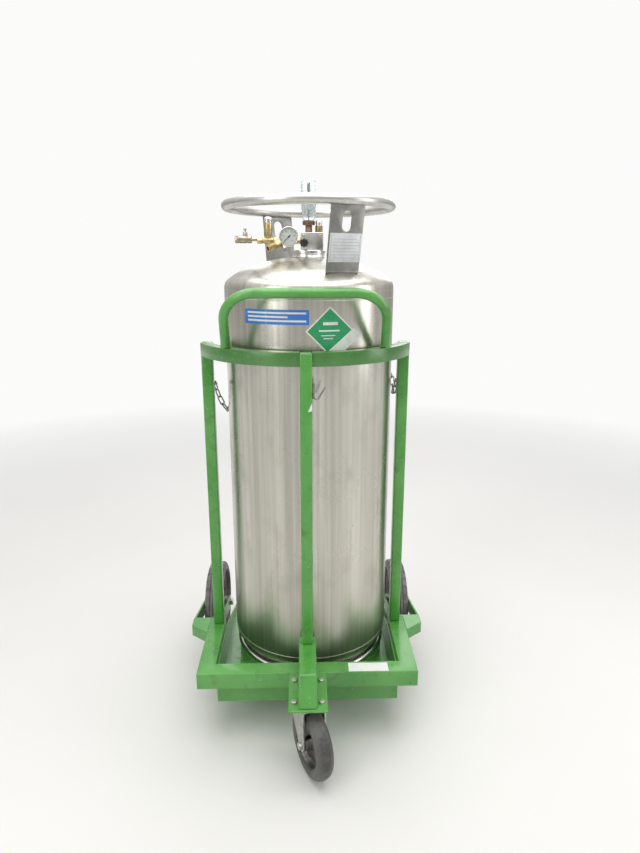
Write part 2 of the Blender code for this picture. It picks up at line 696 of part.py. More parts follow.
def make_wheel(name, parent, centre, radius, width, rim, hub, shaft, reach, tyre_finish, hub_finish):
    """A solid tyre on a dished hub that turns about X; the hub reaches both side plates."""
    axis = add_empty(f"{name}_wheel_axis", parent, centre)
    half, crown = width / 2, width * 0.16
    tread = radius - width * 0.05
    turned(f"{name}_tyre",
           [(rim, -half * 0.86), (tread - crown, -half), (tread, -half + crown * 0.7),
            (radius, -half * 0.35), (radius, half * 0.35), (tread, half - crown * 0.7),
            (tread - crown, half), (rim, half * 0.86)],
           tyre_finish, axis, axis=(1, 0, 0), steps=WHEEL_STEPS, closed=True)
    web, lip, seat = half * 0.18, half * 0.80, rim - GAP
    bore = shaft + RUNNING_GAP
    turned(f"{name}_hub",
           [(bore, reach), (hub * 0.85, reach), (hub, web), (seat * 0.88, web), (seat * 0.94, lip),
            (seat, lip), (seat, -lip), (seat * 0.94, -lip), (seat * 0.88, -web), (hub, -web),
            (hub * 0.85, -reach), (bore, -reach)],
           hub_finish, axis, axis=(1, 0, 0), steps=WHEEL_STEPS, closed=True)


def make_rear_wheel(side_name, side, root, finishes):
    """A bracket of welded plate, its axle bolt and the wheel between its two arms."""
    reach = WHEEL_WIDTH / 2 + WHEEL_SIDE_CLEARANCE
    inner_x, outer_x = WHEEL_X - reach, WHEEL_X + reach
    edge = outer_x + ARM_PLATE
    root_y = RAIL_END_Y + GAP
    rail_side = FRAME_HALF_WIDTH + GAP
    bay_low = RAIL_TOP - BAY_HEIGHT

    def plate(name, low, high):
        near, far = sorted((side * low[0], side * high[0]))
        return block(f"{side_name}_{name}", (near, low[1], low[2]), (far, high[1], high[2]), None, root)

    bracket = plate("wheel_bracket", (FRAME_HALF_WIDTH - RAIL_SIZE, root_y, bay_low),
                    (edge, root_y + BRACKET_PLATE, RAIL_TOP))
    bracket.data.materials.append(finishes["green_paint"])
    outline = [(rail_side, BAY_FRONT_Y), (edge, BAY_CORNER_Y), (edge, root_y + BRACKET_PLATE / 2),
               (rail_side, root_y + BRACKET_PLATE / 2)]
    bay = prism(f"{side_name}_bay", [(side * x, y) for x, y in outline], None, root, bay_low, RAIL_TOP)
    inset = BRACKET_PLATE
    hollow = [(rail_side + inset, BAY_FRONT_Y + inset * 1.8), (edge - inset, BAY_CORNER_Y + inset),
              (edge - inset, root_y), (rail_side + inset, root_y)]
    boolean(bay, prism(f"{side_name}_bay_hollow", [(side * x, y) for x, y in hollow], None, root,
                       bay_low - inset, RAIL_TOP - inset), "DIFFERENCE")
    boolean(bracket, bay, "UNION")
    arm_top = RAIL_TOP - 0.0015
    end = arc((WHEEL_Y, WHEEL_RADIUS), ARM_END_RADIUS, -pi / 2, pi / 2, 8)
    outline = [(root_y + BRACKET_PLATE / 2, arm_top), (root_y + BRACKET_PLATE / 2, arm_top - ARM_ROOT_DEPTH), *end]
    for name, x in (("inner", inner_x - ARM_PLATE), ("outer", outer_x)):
        near, far = sorted((side * x, side * (x + ARM_PLATE)))
        arm = prism(f"{side_name}_{name}_arm", outline, None, root, near, far, "YZ")
        boolean(bracket, arm, "UNION")
    hole = AXLE_RADIUS + GAP
    drilling = turned(f"{side_name}_axle_hole", [(0, -reach * 2), (hole, -reach * 2), (hole, reach * 2),
                                                  (0, reach * 2)],
                      None, root, (side * WHEEL_X, WHEEL_Y, WHEEL_RADIUS), (1, 0, 0), steps=BOLT_STEPS)
    boolean(bracket, drilling, "DIFFERENCE")

    face = reach + ARM_PLATE + GAP
    head = AXLE_HEAD_ACROSS / (2 * cos(pi / 6))
    turned(f"{side_name}_axle",
           [(0, face + AXLE_HEAD), (head, face + AXLE_HEAD), (head, face), (AXLE_RADIUS, face),
            (AXLE_RADIUS, -face), (head, -face), (head, -face - AXLE_HEAD), (0, -face - AXLE_HEAD)],
           finishes["zinc"], root, (side * WHEEL_X, WHEEL_Y, WHEEL_RADIUS), (1, 0, 0), steps=BOLT_STEPS)
    make_wheel(f"{side_name}", root, (side * WHEEL_X, WHEEL_Y, WHEEL_RADIUS), WHEEL_RADIUS, WHEEL_WIDTH,
               WHEEL_RIM_RADIUS, WHEEL_HUB_RADIUS, AXLE_RADIUS, reach - GAP,
               finishes["tread_rubber"], finishes["dark_steel"])
    return bracket


# ---- chain and hook ----

def chain_eye_centre(side):
    """Centre of the level eye welded to the back of a side post."""
    x = POST_OUTER_X - POST_SIZE + EYE_RADIUS * 0.6
    y = POST_FRONT_Y + POST_SIZE + GAP + EYE_RADIUS + EYE_WIRE / 2
    return Vector((side * x, y, CHAIN_LEFT_Z if side < 0 else CHAIN_RIGHT_Z))


def link_seat(eye, towards):
    """Where the end link bears inside an eye when the chain pulls towards a point."""
    pull = (Vector(towards) - eye).normalized()
    level = Vector((pull.x, pull.y, 0)).normalized()
    return eye + level * EYE_RADIUS - pull * (EYE_WIRE / 2 + 3 * GAP + CHAIN_BITE / 2)


def chain_route():
    """Down from the left post, round behind the shell, and slack up to the right post."""
    left, right = chain_eye_centre(-1), chain_eye_centre(1)
    round_shell = SHELL_RADIUS + CHAIN_WIDTH / 2 + CHAIN_SHELL_GAP
    first, last = radians(176.0), radians(8.0)
    behind = []
    for i in range(CHAIN_BACK_POINTS + 1):
        share = i / CHAIN_BACK_POINTS
        azimuth = first + (last - first) * share
        behind.append((DEWAR_X + round_shell * cos(azimuth), round_shell * sin(azimuth),
                       CHAIN_LEFT_SHELL_Z + (CHAIN_RIGHT_SHELL_Z - CHAIN_LEFT_SHELL_Z) * share))
    hang = left + Vector((0.010, 0.024, -0.040))
    dip = (DEWAR_X + round_shell + 0.002, 0.002, CHAIN_DIP_Z)
    start, end = link_seat(left, hang), link_seat(right, dip)
    near, far = start.lerp(hang, 0.5), end.lerp(Vector(dip), 0.5)
    return smooth_route([start, near, hang, *behind, dip, far, end], 6)


def add_chain_link(bm, inner_length, centre, direction, level):
    """One oval link of wire, lying level or standing on edge, added to a bmesh."""
    rounding = (CHAIN_WIDTH - CHAIN_WIRE) / 2
    straight = (inner_length + CHAIN_WIRE) / 2 - rounding * cos(pi / 6)
    path = [(straight + rounding * cos(a), rounding * sin(a)) for a in (-pi / 2, -pi / 6, pi / 6, pi / 2)]
    path += [(-x, -y) for x, y in path]
    along = direction.normalized()
    flat = Vector((0, 0, 1)).cross(along).normalized()
    across = flat if level else along.cross(flat).normalized()
    normal = along.cross(across)
    rings = []
    for i, (u, v) in enumerate(path):
        before, after = Vector(path[i - 1]), Vector(path[(i + 1) % len(path)])
        tangent = (after - before).normalized()
        ring = []
        for k in range(CHAIN_SIDES):
            a = 2 * pi * k / CHAIN_SIDES + CHAIN_TWIST
            reach = CHAIN_WIRE / 2 * cos(a)
            spot = along * (u + tangent.y * reach) + across * (v - tangent.x * reach)
            ring.append(bm.verts.new(centre + spot + normal * (CHAIN_WIRE / 2 * sin(a))))
        rings.append(ring)
    for i, ring in enumerate(rings):
        following = rings[(i + 1) % len(rings)]
        for k in range(CHAIN_SIDES):
            m = (k + 1) % CHAIN_SIDES
            bm.faces.new((ring[k], ring[m], following[m], following[k]))


def make_chain(root, finish):
    """Oval links in a row, each bearing on the next, as one slack chain."""
    route = chain_route()
    length = sum((b - a).length for a, b in zip(route, route[1:]))
    count = 2 * round((length / CHAIN_PITCH - 1) / 2) + 1
    groups = {True: bmesh.new(), False: bmesh.new()}
    for number, (centre, direction, step) in enumerate(spaced(route, count)):
        level = number % 2 == 1
        add_chain_link(groups[level], step - CHAIN_BITE, centre, direction, level)
    chain = mesh_object("restraint_chain", groups[False], finish, root)
    boolean(chain, mesh_object("level_links", groups[True], None, root), "UNION")
    return chain


def make_chain_eyes(root, finish):
    """A round eye welded to the back of each side post."""
    circle = [(EYE_RADIUS + EYE_WIRE / 2 * cos(2 * pi * k / 6), EYE_WIRE / 2 * sin(2 * pi * k / 6))
              for k in range(6)]
    for name, side in (("left_chain_eye", -1), ("right_chain_eye", 1)):
        turned(name, circle, finish, root, chain_eye_centre(side), steps=SMALL_STEPS, closed=True)


def make_hook(root, finish):
    """A bent rod welded to a tab on the side of the centre post."""
    left = POST_SIZE / 2 + GAP
    width, depth, height = HOOK_TAB
    y = CENTRE_POST_FRONT_Y + POST_SIZE / 2
    tab = block("post_hook", (left, y - depth / 2, HOOK_Z), (left + width, y + depth / 2, HOOK_Z + height),
                finish, root)
    start = left + width / 2
    bend = HOOK_REACH * 0.28
    points = [(start, y - depth / 2, HOOK_Z + height * 0.4), (start, y - depth / 2, HOOK_Z + bend),
              *[(start + bend + bend * cos(a), y - depth / 2, HOOK_Z + bend + bend * sin(a))
                for a in (pi * 1.1, pi * 1.25, pi * 1.4, pi * 1.55, pi * 1.68)],
              (start + HOOK_REACH, y - depth / 2, HOOK_Z + HOOK_DROP)]
    boolean(tab, as_mesh(rod("hook_rod", points, HOOK_WIRE / 2, None, root)), "UNION")
    return tab


# ---- dewar vessels ----

def make_vessels(dewar, finishes):
    """The outer shell, the inner vessel in its vacuum space, and the foot ring."""
    base = TRAY_TOP + GAP
    wall, r = SHELL_WALL, SHELL_RADIUS
    dish = SHELL_BOTTOM
    outside = [(0, dish), (r * 0.40, dish + 0.004), (r * 0.70, dish + 0.014), (r * 0.86, dish + 0.026),
               (r * 0.935, dish + 0.038), (r * 0.978, dish + 0.052), (r, SHELL_KNUCKLE_Z),
               (r, SHELL_SHOULDER_Z), (r - 0.002, SHELL_SHOULDER_Z + 0.012), (r - 0.010, SHELL_SHOULDER_Z + 0.0235),
               (r * 0.87, SHELL_SHOULDER_Z + 0.0405), (r * 0.72, SHELL_SHOULDER_Z + 0.0585),
               (r * 0.50, SHELL_SHOULDER_Z + 0.0765), (r * 0.28, SHELL_TOP - 0.002),
               (FLANGE_RADIUS, SHELL_TOP), (NECK_HOLE_RADIUS, SHELL_TOP)]
    inside = [(NECK_HOLE_RADIUS, SHELL_TOP - wall), (FLANGE_RADIUS, SHELL_TOP - wall),
              (r * 0.28, SHELL_TOP - 0.002 - wall), (r * 0.50, SHELL_SHOULDER_Z + 0.0765 - wall),
              (r * 0.72 - wall * 0.3, SHELL_SHOULDER_Z + 0.0585 - wall),
              (r * 0.87 - wall * 0.6, SHELL_SHOULDER_Z + 0.0395 - wall),
              (r - 0.010 - wall, SHELL_SHOULDER_Z + 0.021 - wall), (r - wall, SHELL_SHOULDER_Z),
              (r - wall, SHELL_KNUCKLE_Z), (r * 0.935 - wall * 0.4, dish + 0.038 + wall),
              (r * 0.70, dish + 0.014 + wall), (0, dish + wall)]
    turned("outer_vessel", outside + inside, finishes["stainless"], dewar, steps=VESSEL_STEPS)

    r, wall = INNER_RADIUS, INNER_WALL
    hole = NECK_TUBE_RADIUS + GAP
    outside = [(0, INNER_BOTTOM), (r * 0.6, INNER_BOTTOM + 0.010), (r * 0.88, INNER_BOTTOM + 0.030),
               (r, INNER_BOTTOM + 0.062), (r, INNER_TOP - 0.062), (r * 0.88, INNER_TOP - 0.030),
               (r * 0.6, INNER_TOP - 0.010), (r * 0.2, INNER_TOP), (hole, INNER_TOP)]
    inside = [(hole, INNER_TOP - wall), (r * 0.2, INNER_TOP - wall), (r * 0.6, INNER_TOP - 0.010 - wall),
              (r * 0.88 - wall * 0.5, INNER_TOP - 0.030 - wall), (r - wall, INNER_TOP - 0.062),
              (r - wall, INNER_BOTTOM + 0.062), (r * 0.88 - wall * 0.5, INNER_BOTTOM + 0.030 + wall),
              (r * 0.6, INNER_BOTTOM + 0.010 + wall), (0, INNER_BOTTOM + wall)]
    turned("inner_vessel", outside + inside, finishes["stainless"], dewar, steps=INNER_STEPS)

    top, wall = SHELL_TOP + FLANGE_HEIGHT * 0.5, NECK_TUBE_WALL
    turned("neck_tube", [(NECK_TUBE_RADIUS, INNER_TOP - 0.060), (NECK_TUBE_RADIUS, top),
                         (NECK_TUBE_RADIUS - wall, top), (NECK_TUBE_RADIUS - wall, INNER_TOP - 0.060)],
           finishes["stainless"], dewar, steps=SMALL_STEPS + 8, closed=True)

    bead = FOOT_RADIUS - 0.0075
    outside = [(FOOT_RADIUS, base), (FOOT_RADIUS, FOOT_BEAD_Z - 0.008),
               *arc((bead, FOOT_BEAD_Z), 0.0075, -pi / 5, pi * 0.62, 4)]
    foot_top = dish + 0.0275
    neck = (FOOT_RADIUS - 0.020, foot_top)
    inside = [(neck[0] - FOOT_WALL, foot_top), (bead - 0.006, FOOT_BEAD_Z - 0.002),
              (FOOT_RADIUS - FOOT_WALL, FOOT_BEAD_Z - 0.012), (FOOT_RADIUS - FOOT_WALL, base)]
    turned("foot_ring", [*outside, neck, *inside], finishes["bright_steel"], dewar,
           steps=VESSEL_STEPS, closed=True)


def make_internals(dewar, finishes):
    """The liquid tube down the neck and the vaporizer coil on the shell's inner wall."""
    bottom = INNER_BOTTOM + INNER_WALL + DIP_TUBE_CLEARANCE
    top = SHELL_TOP + FLANGE_HEIGHT + GAP
    rod("dip_tube", [(DIP_TUBE_OFFSET, 0, bottom), (DIP_TUBE_OFFSET, 0, top - GAP)],
        DIP_TUBE_RADIUS, finishes["stainless"], dewar)
    radius = SHELL_RADIUS - SHELL_WALL - COIL_TUBE_RADIUS - GAP
    steps = VESSEL_STEPS // 2
    points = [(radius * cos(2 * pi * i / steps), radius * sin(2 * pi * i / steps),
               COIL_BOTTOM + COIL_PITCH * i / steps) for i in range(COIL_TURNS * steps + 1)]
    rod("vaporizer_coil", points, COIL_TUBE_RADIUS, finishes["copper"], dewar, resolution=1)


# ---- handling ring ----

def make_handling_ring(dewar, finishes):
    """A ring of tube on two slotted lifting brackets that lean in to the dome."""
    circle = [(RING_RADIUS + RING_TUBE_RADIUS * sin(2 * pi * k / 10),
               -RING_TUBE_RADIUS * cos(2 * pi * k / 10)) for k in range(10)]
    turned("handling_ring", circle, finishes["stainless"], dewar, (0, 0, RING_Z),
           steps=VESSEL_STEPS, closed=True, phase=BRACKET_AZIMUTH - pi / 2)
    for name, yaw in (("front_ring_bracket", BRACKET_AZIMUTH), ("rear_ring_bracket", BRACKET_AZIMUTH + pi)):
        make_ring_bracket(name, yaw, dewar, finishes)


def bracket_line():
    """Foot and head of a bracket's middle plane, as (radius, height)."""
    foot_z = SHELL_SHOULDER_Z + 0.0475
    head_z = RING_Z - RING_TUBE_RADIUS - GAP
    return Vector((BRACKET_FOOT_RADIUS, foot_z)), Vector((RING_RADIUS, head_z))


def make_ring_bracket(name, yaw, dewar, finishes):
    """A leaning plate with a round-ended lifting slot."""
    turn = add_empty(f"{name}_azimuth", dewar, (0, 0, 0), yaw)
    foot, head = bracket_line()
    half = BRACKET_THICKNESS / 2
    lean = (head.x - foot.x) / (head.y - foot.y)
    outline = [(-foot.x - half, foot.y), (-foot.x + half, foot.y), (-head.x + half, head.y),
               (-head.x - half, head.y)]
    bracket = prism(name, outline, finishes["stainless"], turn, -BRACKET_WIDTH / 2, BRACKET_WIDTH / 2, "YZ")
    bevelled(bracket, 0.0008, 1)
    rounding = SLOT_WIDTH / 2
    straight = SLOT_LENGTH / 2 - rounding
    slot = [*arc((0, SLOT_CENTRE_Z + straight), rounding, 0, pi, 8),
            *arc((0, SLOT_CENTRE_Z - straight), rounding, pi, 2 * pi, 8)]
    middle_y = -(foot.x + lean * (SLOT_CENTRE_Z - foot.y))
    cutter = prism(f"{name}_slot", slot, None, turn, middle_y - 0.03, middle_y + 0.03, "XZ")
    boolean(bracket, cutter, "DIFFERENCE")
    if yaw == BRACKET_AZIMUTH:
        make_data_plate(turn, foot, lean, finishes)
    return bracket


def make_data_plate(turn, foot, lean, finishes):
    """A bare plate on the lower half of the front bracket, parallel to it."""
    width, thickness, height = DATA_PLATE
    top = SLOT_CENTRE_Z - SLOT_LENGTH / 2 - 0.004
    bottom = top - height

    def surface(z):
        return -(foot.x + lean * (z - foot.y)) - BRACKET_THICKNESS / 2 - GAP

    outline = [(surface(bottom), bottom), (surface(top), top), (surface(top) - thickness, top),
               (surface(bottom) - thickness, bottom)]
    return prism("data_plate", outline, finishes["white_plate"], turn, -width / 2, width / 2, "YZ")


# ---- head fittings ----

def head_levels():
    """Heights of the flange's top and the block's bottom and top."""
    flange_top = SHELL_TOP + GAP + FLANGE_HEIGHT
    return flange_top, flange_top + GAP, flange_top + GAP + BLOCK_HEIGHT


def make_neck_fittings(dewar, finishes):
    flange_top, block_bottom, block_top = head_levels()
    bottom = SHELL_TOP + GAP
    hole = NECK_TUBE_RADIUS + GAP
    counter = SHELL_TOP + FLANGE_HEIGHT * 0.5 + GAP
    flange = turned("neck_flange",
                    [(hole, bottom), (FLANGE_RADIUS, bottom), (FLANGE_RADIUS, flange_top - 0.002),
                     (FLANGE_RADIUS - 0.002, flange_top), (FLOAT_RADIUS + 0.0012, flange_top),
                     (FLOAT_RADIUS + 0.0012, counter), (hole, counter)],
                    finishes["bright_steel"], dewar, steps=ROUND_STEPS, closed=True)
    pocket = turned("dip_pocket", [(0, counter - 0.02), (DIP_TUBE_RADIUS + GAP, counter - 0.02),
                                   (DIP_TUBE_RADIUS + GAP, flange_top + 0.01), (0, flange_top + 0.01)],
                    None, dewar, (DIP_TUBE_OFFSET, 0, 0))
    boolean(flange, pocket, "DIFFERENCE")
    left, right = BLOCK_LEFT_X - DEWAR_X, BLOCK_RIGHT_X - DEWAR_X
    manifold = block("manifold_block", (left, BLOCK_FRONT_Y, block_bottom), (right, BLOCK_REAR_Y, block_top),
                     finishes["bright_steel"], dewar)
    bore = turned("float_bore", [(0, block_bottom - 0.01), (BORE_RADIUS, block_bottom - 0.01),
                                 (BORE_RADIUS, block_top + 0.01), (0, block_top + 0.01)], None, dewar)
    boolean(manifold, bore, "DIFFERENCE")
    bevelled(manifold, 0.0012, 1)


def make_contents_gauge(dewar, finishes):
    """Hexagon base, clear sight tube and the sliding float with its indicator."""
    top = head_levels()[2] + GAP
    stem_top = top + GAUGE_STEM_HEIGHT
    hexagon = GAUGE_BASE_ACROSS / (2 * cos(pi / 6))
    base_top = stem_top + GAUGE_BASE_HEIGHT
    base = turned("gauge_base_stem", [(BORE_RADIUS, top), (GAUGE_STEM_RADIUS, top),
                                      (GAUGE_STEM_RADIUS, stem_top + 0.002), (BORE_RADIUS, stem_top + 0.002)],
                  None, dewar, closed=True)
    nut = turned("contents_gauge_base", [(BORE_RADIUS, stem_top), (hexagon - 0.001, stem_top),
                                         (hexagon, stem_top + 0.0015), (hexagon, base_top),
                                         (BORE_RADIUS, base_top)],
                 finishes["bronze"], dewar, steps=6, closed=True)
    boolean(nut, base, "UNION")
    foot = base_top + GAP
    tube_top = foot + SIGHT_TUBE_LENGTH
    radius, wall = SIGHT_TUBE_RADIUS, SIGHT_TUBE_WALL
    seat = hexagon * cos(pi / 6) - 0.001
    turned("sight_tube", [(seat - wall, foot), (seat, foot), (radius, foot + 0.012), (radius, tube_top - 0.006),
                          (radius - 0.004, tube_top), (0, tube_top), (0, tube_top - wall),
                          (radius - 0.005, tube_top - wall), (radius - wall, tube_top - 0.007),
                          (radius - wall, foot + 0.012)], finishes["clear_plastic"], dewar,
           steps=SMALL_STEPS + 8, closed=True)
    tip, tip_top = FLOAT_TIP_RADIUS, tube_top - FLOAT_TIP_CLEARANCE
    low = tip_top - FLOAT_TIP_LENGTH
    float_top = FLOAT_BOTTOM + FLOAT_LENGTH
    turned("float_indicator",
           [(0, FLOAT_BOTTOM), (FLOAT_RADIUS * 0.5, FLOAT_BOTTOM), (FLOAT_RADIUS, FLOAT_BOTTOM + 0.01),
            (FLOAT_RADIUS, float_top - 0.01), (FLOAT_RADIUS * 0.5, float_top), (FLOAT_ROD_RADIUS, float_top),
            (FLOAT_ROD_RADIUS, low), (tip, low + 0.002), (tip, tip_top - 0.004), (0, tip_top)],
           finishes["dark_steel"], dewar, steps=BOLT_STEPS)


def make_relief_line(dewar, finishes):
    """The brass line on the block's left, with its relief valve, coupling and outlet."""
    start = BLOCK_LEFT_X - DEWAR_X - GAP
    end = RELIEF_LINE_LEFT_X - DEWAR_X
    y, z, r = RELIEF_LINE_Y, RELIEF_LINE_Z, RELIEF_LINE_RADIUS
    valve_x = RELIEF_VALVE_X - DEWAR_X
    line = turned("relief_line", [(0, end), (r, end), (r, end + 0.016), (r * 0.8, end + 0.018),
                                  (r * 0.8, valve_x + 0.014), (r * 1.12, valve_x + 0.016),
                                  (r * 1.12, valve_x + 0.032), (r * 0.7, valve_x + 0.034),
                                  (r * 0.7, start - 0.014), (r * 1.1, start - 0.013), (r * 1.1, start), (0, start)],
                  finishes["brass"], dewar, (0, y, z), (1, 0, 0), steps=BOLT_STEPS)
    valve_foot = z + r * 0.8
    turned("relief_valve",
           [(0, valve_foot + GAP), (r * 0.75, valve_foot + GAP), (r * 0.75, valve_foot + 0.004),
            (RELIEF_VALVE_RADIUS, valve_foot + 0.005), (RELIEF_VALVE_RADIUS, RELIEF_VALVE_TOP - 0.017),
            (RELIEF_CAP_RADIUS, RELIEF_VALVE_TOP - 0.016), (RELIEF_CAP_RADIUS, RELIEF_VALVE_TOP - 0.002),
            (RELIEF_CAP_RADIUS - 0.002, RELIEF_VALVE_TOP), (0, RELIEF_VALVE_TOP)],
           finishes["brass"], dewar, (valve_x, y, 0), steps=SMALL_STEPS)
    face = end - GAP
    coupling = turned("line_coupling",
           [(0, face), (NIPPLE_RADIUS, face), (NIPPLE_RADIUS, face - NIPPLE_LENGTH),
            (COUPLING_RADIUS - 0.001, face - NIPPLE_LENGTH), (COUPLING_RADIUS, face - NIPPLE_LENGTH - 0.001),
            (COUPLING_RADIUS, face - NIPPLE_LENGTH - COUPLING_LENGTH + 0.001),
            (COUPLING_RADIUS - 0.001, face - NIPPLE_LENGTH - COUPLING_LENGTH),
            (0, face - NIPPLE_LENGTH - COUPLING_LENGTH)],
           finishes["dark_steel"], dewar, (0, y, z + 0.003), (1, 0, 0), steps=SMALL_STEPS)
    top = z + 0.003 + COUPLING_RADIUS
    screw_x = face - NIPPLE_LENGTH - COUPLING_LENGTH * 0.38
    screw = turned("bleed_screw", [(0, top - 0.003), (0.007, top - 0.003), (0.007, top + 0.010),
                                   (0.0035, top + 0.011), (0.0035, top + 0.014), (0.005, top + 0.018),
                                   (0.0035, top + 0.022), (0, top + 0.023)],
                   None, dewar, (screw_x, y, 0), steps=8)
    boolean(coupling, screw, "UNION")
    reach = Vector(OUTLET_REACH)
    direction = reach.normalized()
    side_x = OUTLET_X - DEWAR_X
    foot = Vector((side_x, y, z))
    length = reach.length
    outlet = turned("liquid_outlet",
           [(0, 0), (OUTLET_RADIUS * 0.75, 0), (OUTLET_RADIUS * 0.75, length * 0.25),
            (OUTLET_RADIUS * 1.2, length * 0.27), (OUTLET_RADIUS * 1.2, length * 0.6),
            (OUTLET_RADIUS, length * 0.63), (OUTLET_RADIUS, length), (OUTLET_RADIUS * 0.6, length),
            (OUTLET_RADIUS * 0.6, length * 0.7), (0, length * 0.7)],
           None, dewar, foot, direction, steps=BOLT_STEPS)
    boolean(line, outlet, "UNION")
    top = head_levels()[2] + GAP
    r = DISC_HOLDER_RADIUS
    turned("rupture_disc_holder",
           [(0, top), (r, top), (r, top + 0.020), (r * 0.8, top + 0.022), (r * 0.8, top + 0.024),
            (r * 0.95, top + 0.025), (r * 0.95, top + DISC_HOLDER_HEIGHT - 0.002),
            (r * 0.75, top + DISC_HOLDER_HEIGHT), (0, top + DISC_HOLDER_HEIGHT)],
           finishes["brass"], dewar, (DISC_HOLDER_X - DEWAR_X, -0.004, 0), steps=BOLT_STEPS)
    return line


def make_pressure_gauge(dewar, finishes):
    """A round dial gauge facing the handle end, its stem screwed into the relief line."""
    x = GAUGE_X - DEWAR_X
    back = GAUGE_FACE_Y + GAUGE_DEPTH
    r = GAUGE_RADIUS
    bottom_z = RELIEF_LINE_Z
    dial_depth = 0.006
    case = turned("pressure_gauge_case",
                  [(0, GAUGE_DEPTH), (r * 0.9, GAUGE_DEPTH), (r * 0.97, GAUGE_DEPTH * 0.8), (r * 0.97, 0.007),
                   (r, 0.006), (r, 0.001), (r - 0.001, 0), (r - GAUGE_RIM, 0), (r - GAUGE_RIM, dial_depth),
                   (0, dial_depth)],
                  finishes["bright_steel"], dewar, (x, GAUGE_FACE_Y, GAUGE_Z), (0, 1, 0), steps=ROUND_STEPS)
    line_front = RELIEF_LINE_Y - RELIEF_LINE_RADIUS * 0.7 - GAP
    stem = turned("gauge_stem", [(0, back - 0.004), (GAUGE_STEM, back - 0.004), (GAUGE_STEM, line_front),
                                 (0, line_front)], None, dewar, (x, 0, bottom_z), (0, 1, 0), steps=BOLT_STEPS)
    boolean(case, stem, "UNION")
    turned("gauge_lens", [(0, 0.0006), (r - GAUGE_RIM - GAP, 0.0006), (r - GAUGE_RIM - GAP, 0.0006 + LENS_THICKNESS),
                          (0, 0.0006 + LENS_THICKNESS)],
           finishes["clear_plastic"], dewar, (x, GAUGE_FACE_Y, GAUGE_Z), (0, 1, 0), steps=ROUND_STEPS)
    axis = add_empty("gauge_needle_axis", dewar, (x, GAUGE_FACE_Y, GAUGE_Z))
    front = 0.0006 + LENS_THICKNESS + 0.0008
    needle = turned("gauge_needle", [(0, front), (0.0028, front), (0.0028, dial_depth - GAP), (0, dial_depth - GAP)],
                    finishes["black_plastic"], axis, axis=(0, 1, 0), steps=BOLT_STEPS)
    a = NEEDLE_AZIMUTH
    tip, half = Vector((cos(a), sin(a))) * NEEDLE_LENGTH, Vector((-sin(a), cos(a))) * (NEEDLE_WIDTH / 2)
    tail = Vector((cos(a), sin(a))) * -0.006
    hand = prism("needle_hand", [tuple(tail - half), tuple(tail + half), tuple(tip + half * 0.3),
                                 tuple(tip - half * 0.3)], None, axis,
                 front + 0.0004, front + 0.0004 + NEEDLE_THICKNESS, "XZ")
    boolean(needle, hand, "UNION")


def make_valve(name, x, facing, knob_across, knob_finish, body_finish, dewar):
    """A bonnet on the block's front or rear face, with a knob that turns about Y."""
    face = BLOCK_FRONT_Y - GAP if facing < 0 else BLOCK_REAR_Y + GAP
    end = VALVE_BONNET_LENGTH
    r = VALVE_BONNET_RADIUS
    turned(f"{name}_bonnet",
           [(0, 0), (r * 1.15, 0), (r * 1.15, 0.010), (r * 0.8, 0.012), (r * 0.8, 0.022), (r, 0.023), (r, end - 0.006),
            (VALVE_STEM_RADIUS, end - 0.005), (VALVE_STEM_RADIUS, end + 0.010), (0, end + 0.010)],
           body_finish, dewar, (x - DEWAR_X, face, VALVE_Z), (0, facing, 0), steps=BOLT_STEPS)
    hole = (VALVE_STEM_RADIUS + RUNNING_GAP / 2) / cos(pi / KNOB_SIDES)
    near, far = end - 0.003, end + KNOB_LENGTH - 0.003
    knob = knob_across / 2
    turned(f"{name}_knob",
           [(hole, near), (knob * 0.8, near), (knob, near + 0.003), (knob, far - 0.003), (knob * 0.8, far),
            (0, far), (0, end + 0.0105), (hole, end + 0.0105)],
           knob_finish, dewar, (x - DEWAR_X, face, VALVE_Z), (0, facing, 0), steps=KNOB_SIDES, closed=True)


def centre_front_to_back(root):
    """Moves the cart so that the middle of its box is over the origin."""
    bpy.context.view_layer.update()
    graph = bpy.context.evaluated_depsgraph_get()
    reach = []
    for obj in bpy.context.scene.objects:
        if obj.type in ("MESH", "CURVE") and not obj.hide_render:
            mesh = obj.evaluated_get(graph).to_mesh()
            reach += [(obj.matrix_world @ v.co).y for v in mesh.vertices]
    root.location.y -= (min(reach) + max(reach)) / 2


def main():
    for old in list(bpy.data.objects):
        bpy.data.objects.remove(old, do_unlink=True)
    finishes = make_materials()
    green = finishes["green_paint"]
    root = add_empty("cart_origin", None, (0, 0, 0))
    dewar = add_empty("dewar_axis", root, (DEWAR_X, 0, 0))
    make_base_frame(root, green)
    make_tray(root, green)
    make_posts(root, green)
    make_band("left_band", -1, root, green)
    make_band("right_band", 1, root, green)
    make_push_handle(root, green)
    make_tongue(root, green)
    make_caster_mount(root, green, finishes["zinc"])
    make_caster(root, finishes)
    make_rear_wheel("left", -1, root, finishes)
    make_rear_wheel("right", 1, root, finishes)
    make_chain(root, finishes["dark_steel"])
    make_chain_eyes(root, finishes["dark_steel"])
    make_hook(root, finishes["dark_steel"])
    make_vessels(dewar, finishes)
    make_internals(dewar, finishes)
    make_handling_ring(dewar, finishes)
    make_neck_fittings(dewar, finishes)
    make_contents_gauge(dewar, finishes)
    make_relief_line(dewar, finishes)
    make_pressure_gauge(dewar, finishes)
    black, brass = finishes["black_plastic"], finishes["brass"]
    make_valve("vent_valve", VENT_VALVE_X, -1, KNOB_ACROSS, black, finishes["bright_steel"], dewar)
    make_valve("liquid_valve", LIQUID_VALVE_X, 1, KNOB_ACROSS, black, brass, dewar)
    make_valve("builder_valve", BUILDER_VALVE_X, 1, KNOB_ACROSS, black, brass, dewar)
    centre_front_to_back(root)


main()
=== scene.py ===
import json
from math import asin, atan2, cos, pi, radians, sin, sqrt, tan

import bmesh
import bpy
from mathutils import Matrix, Vector

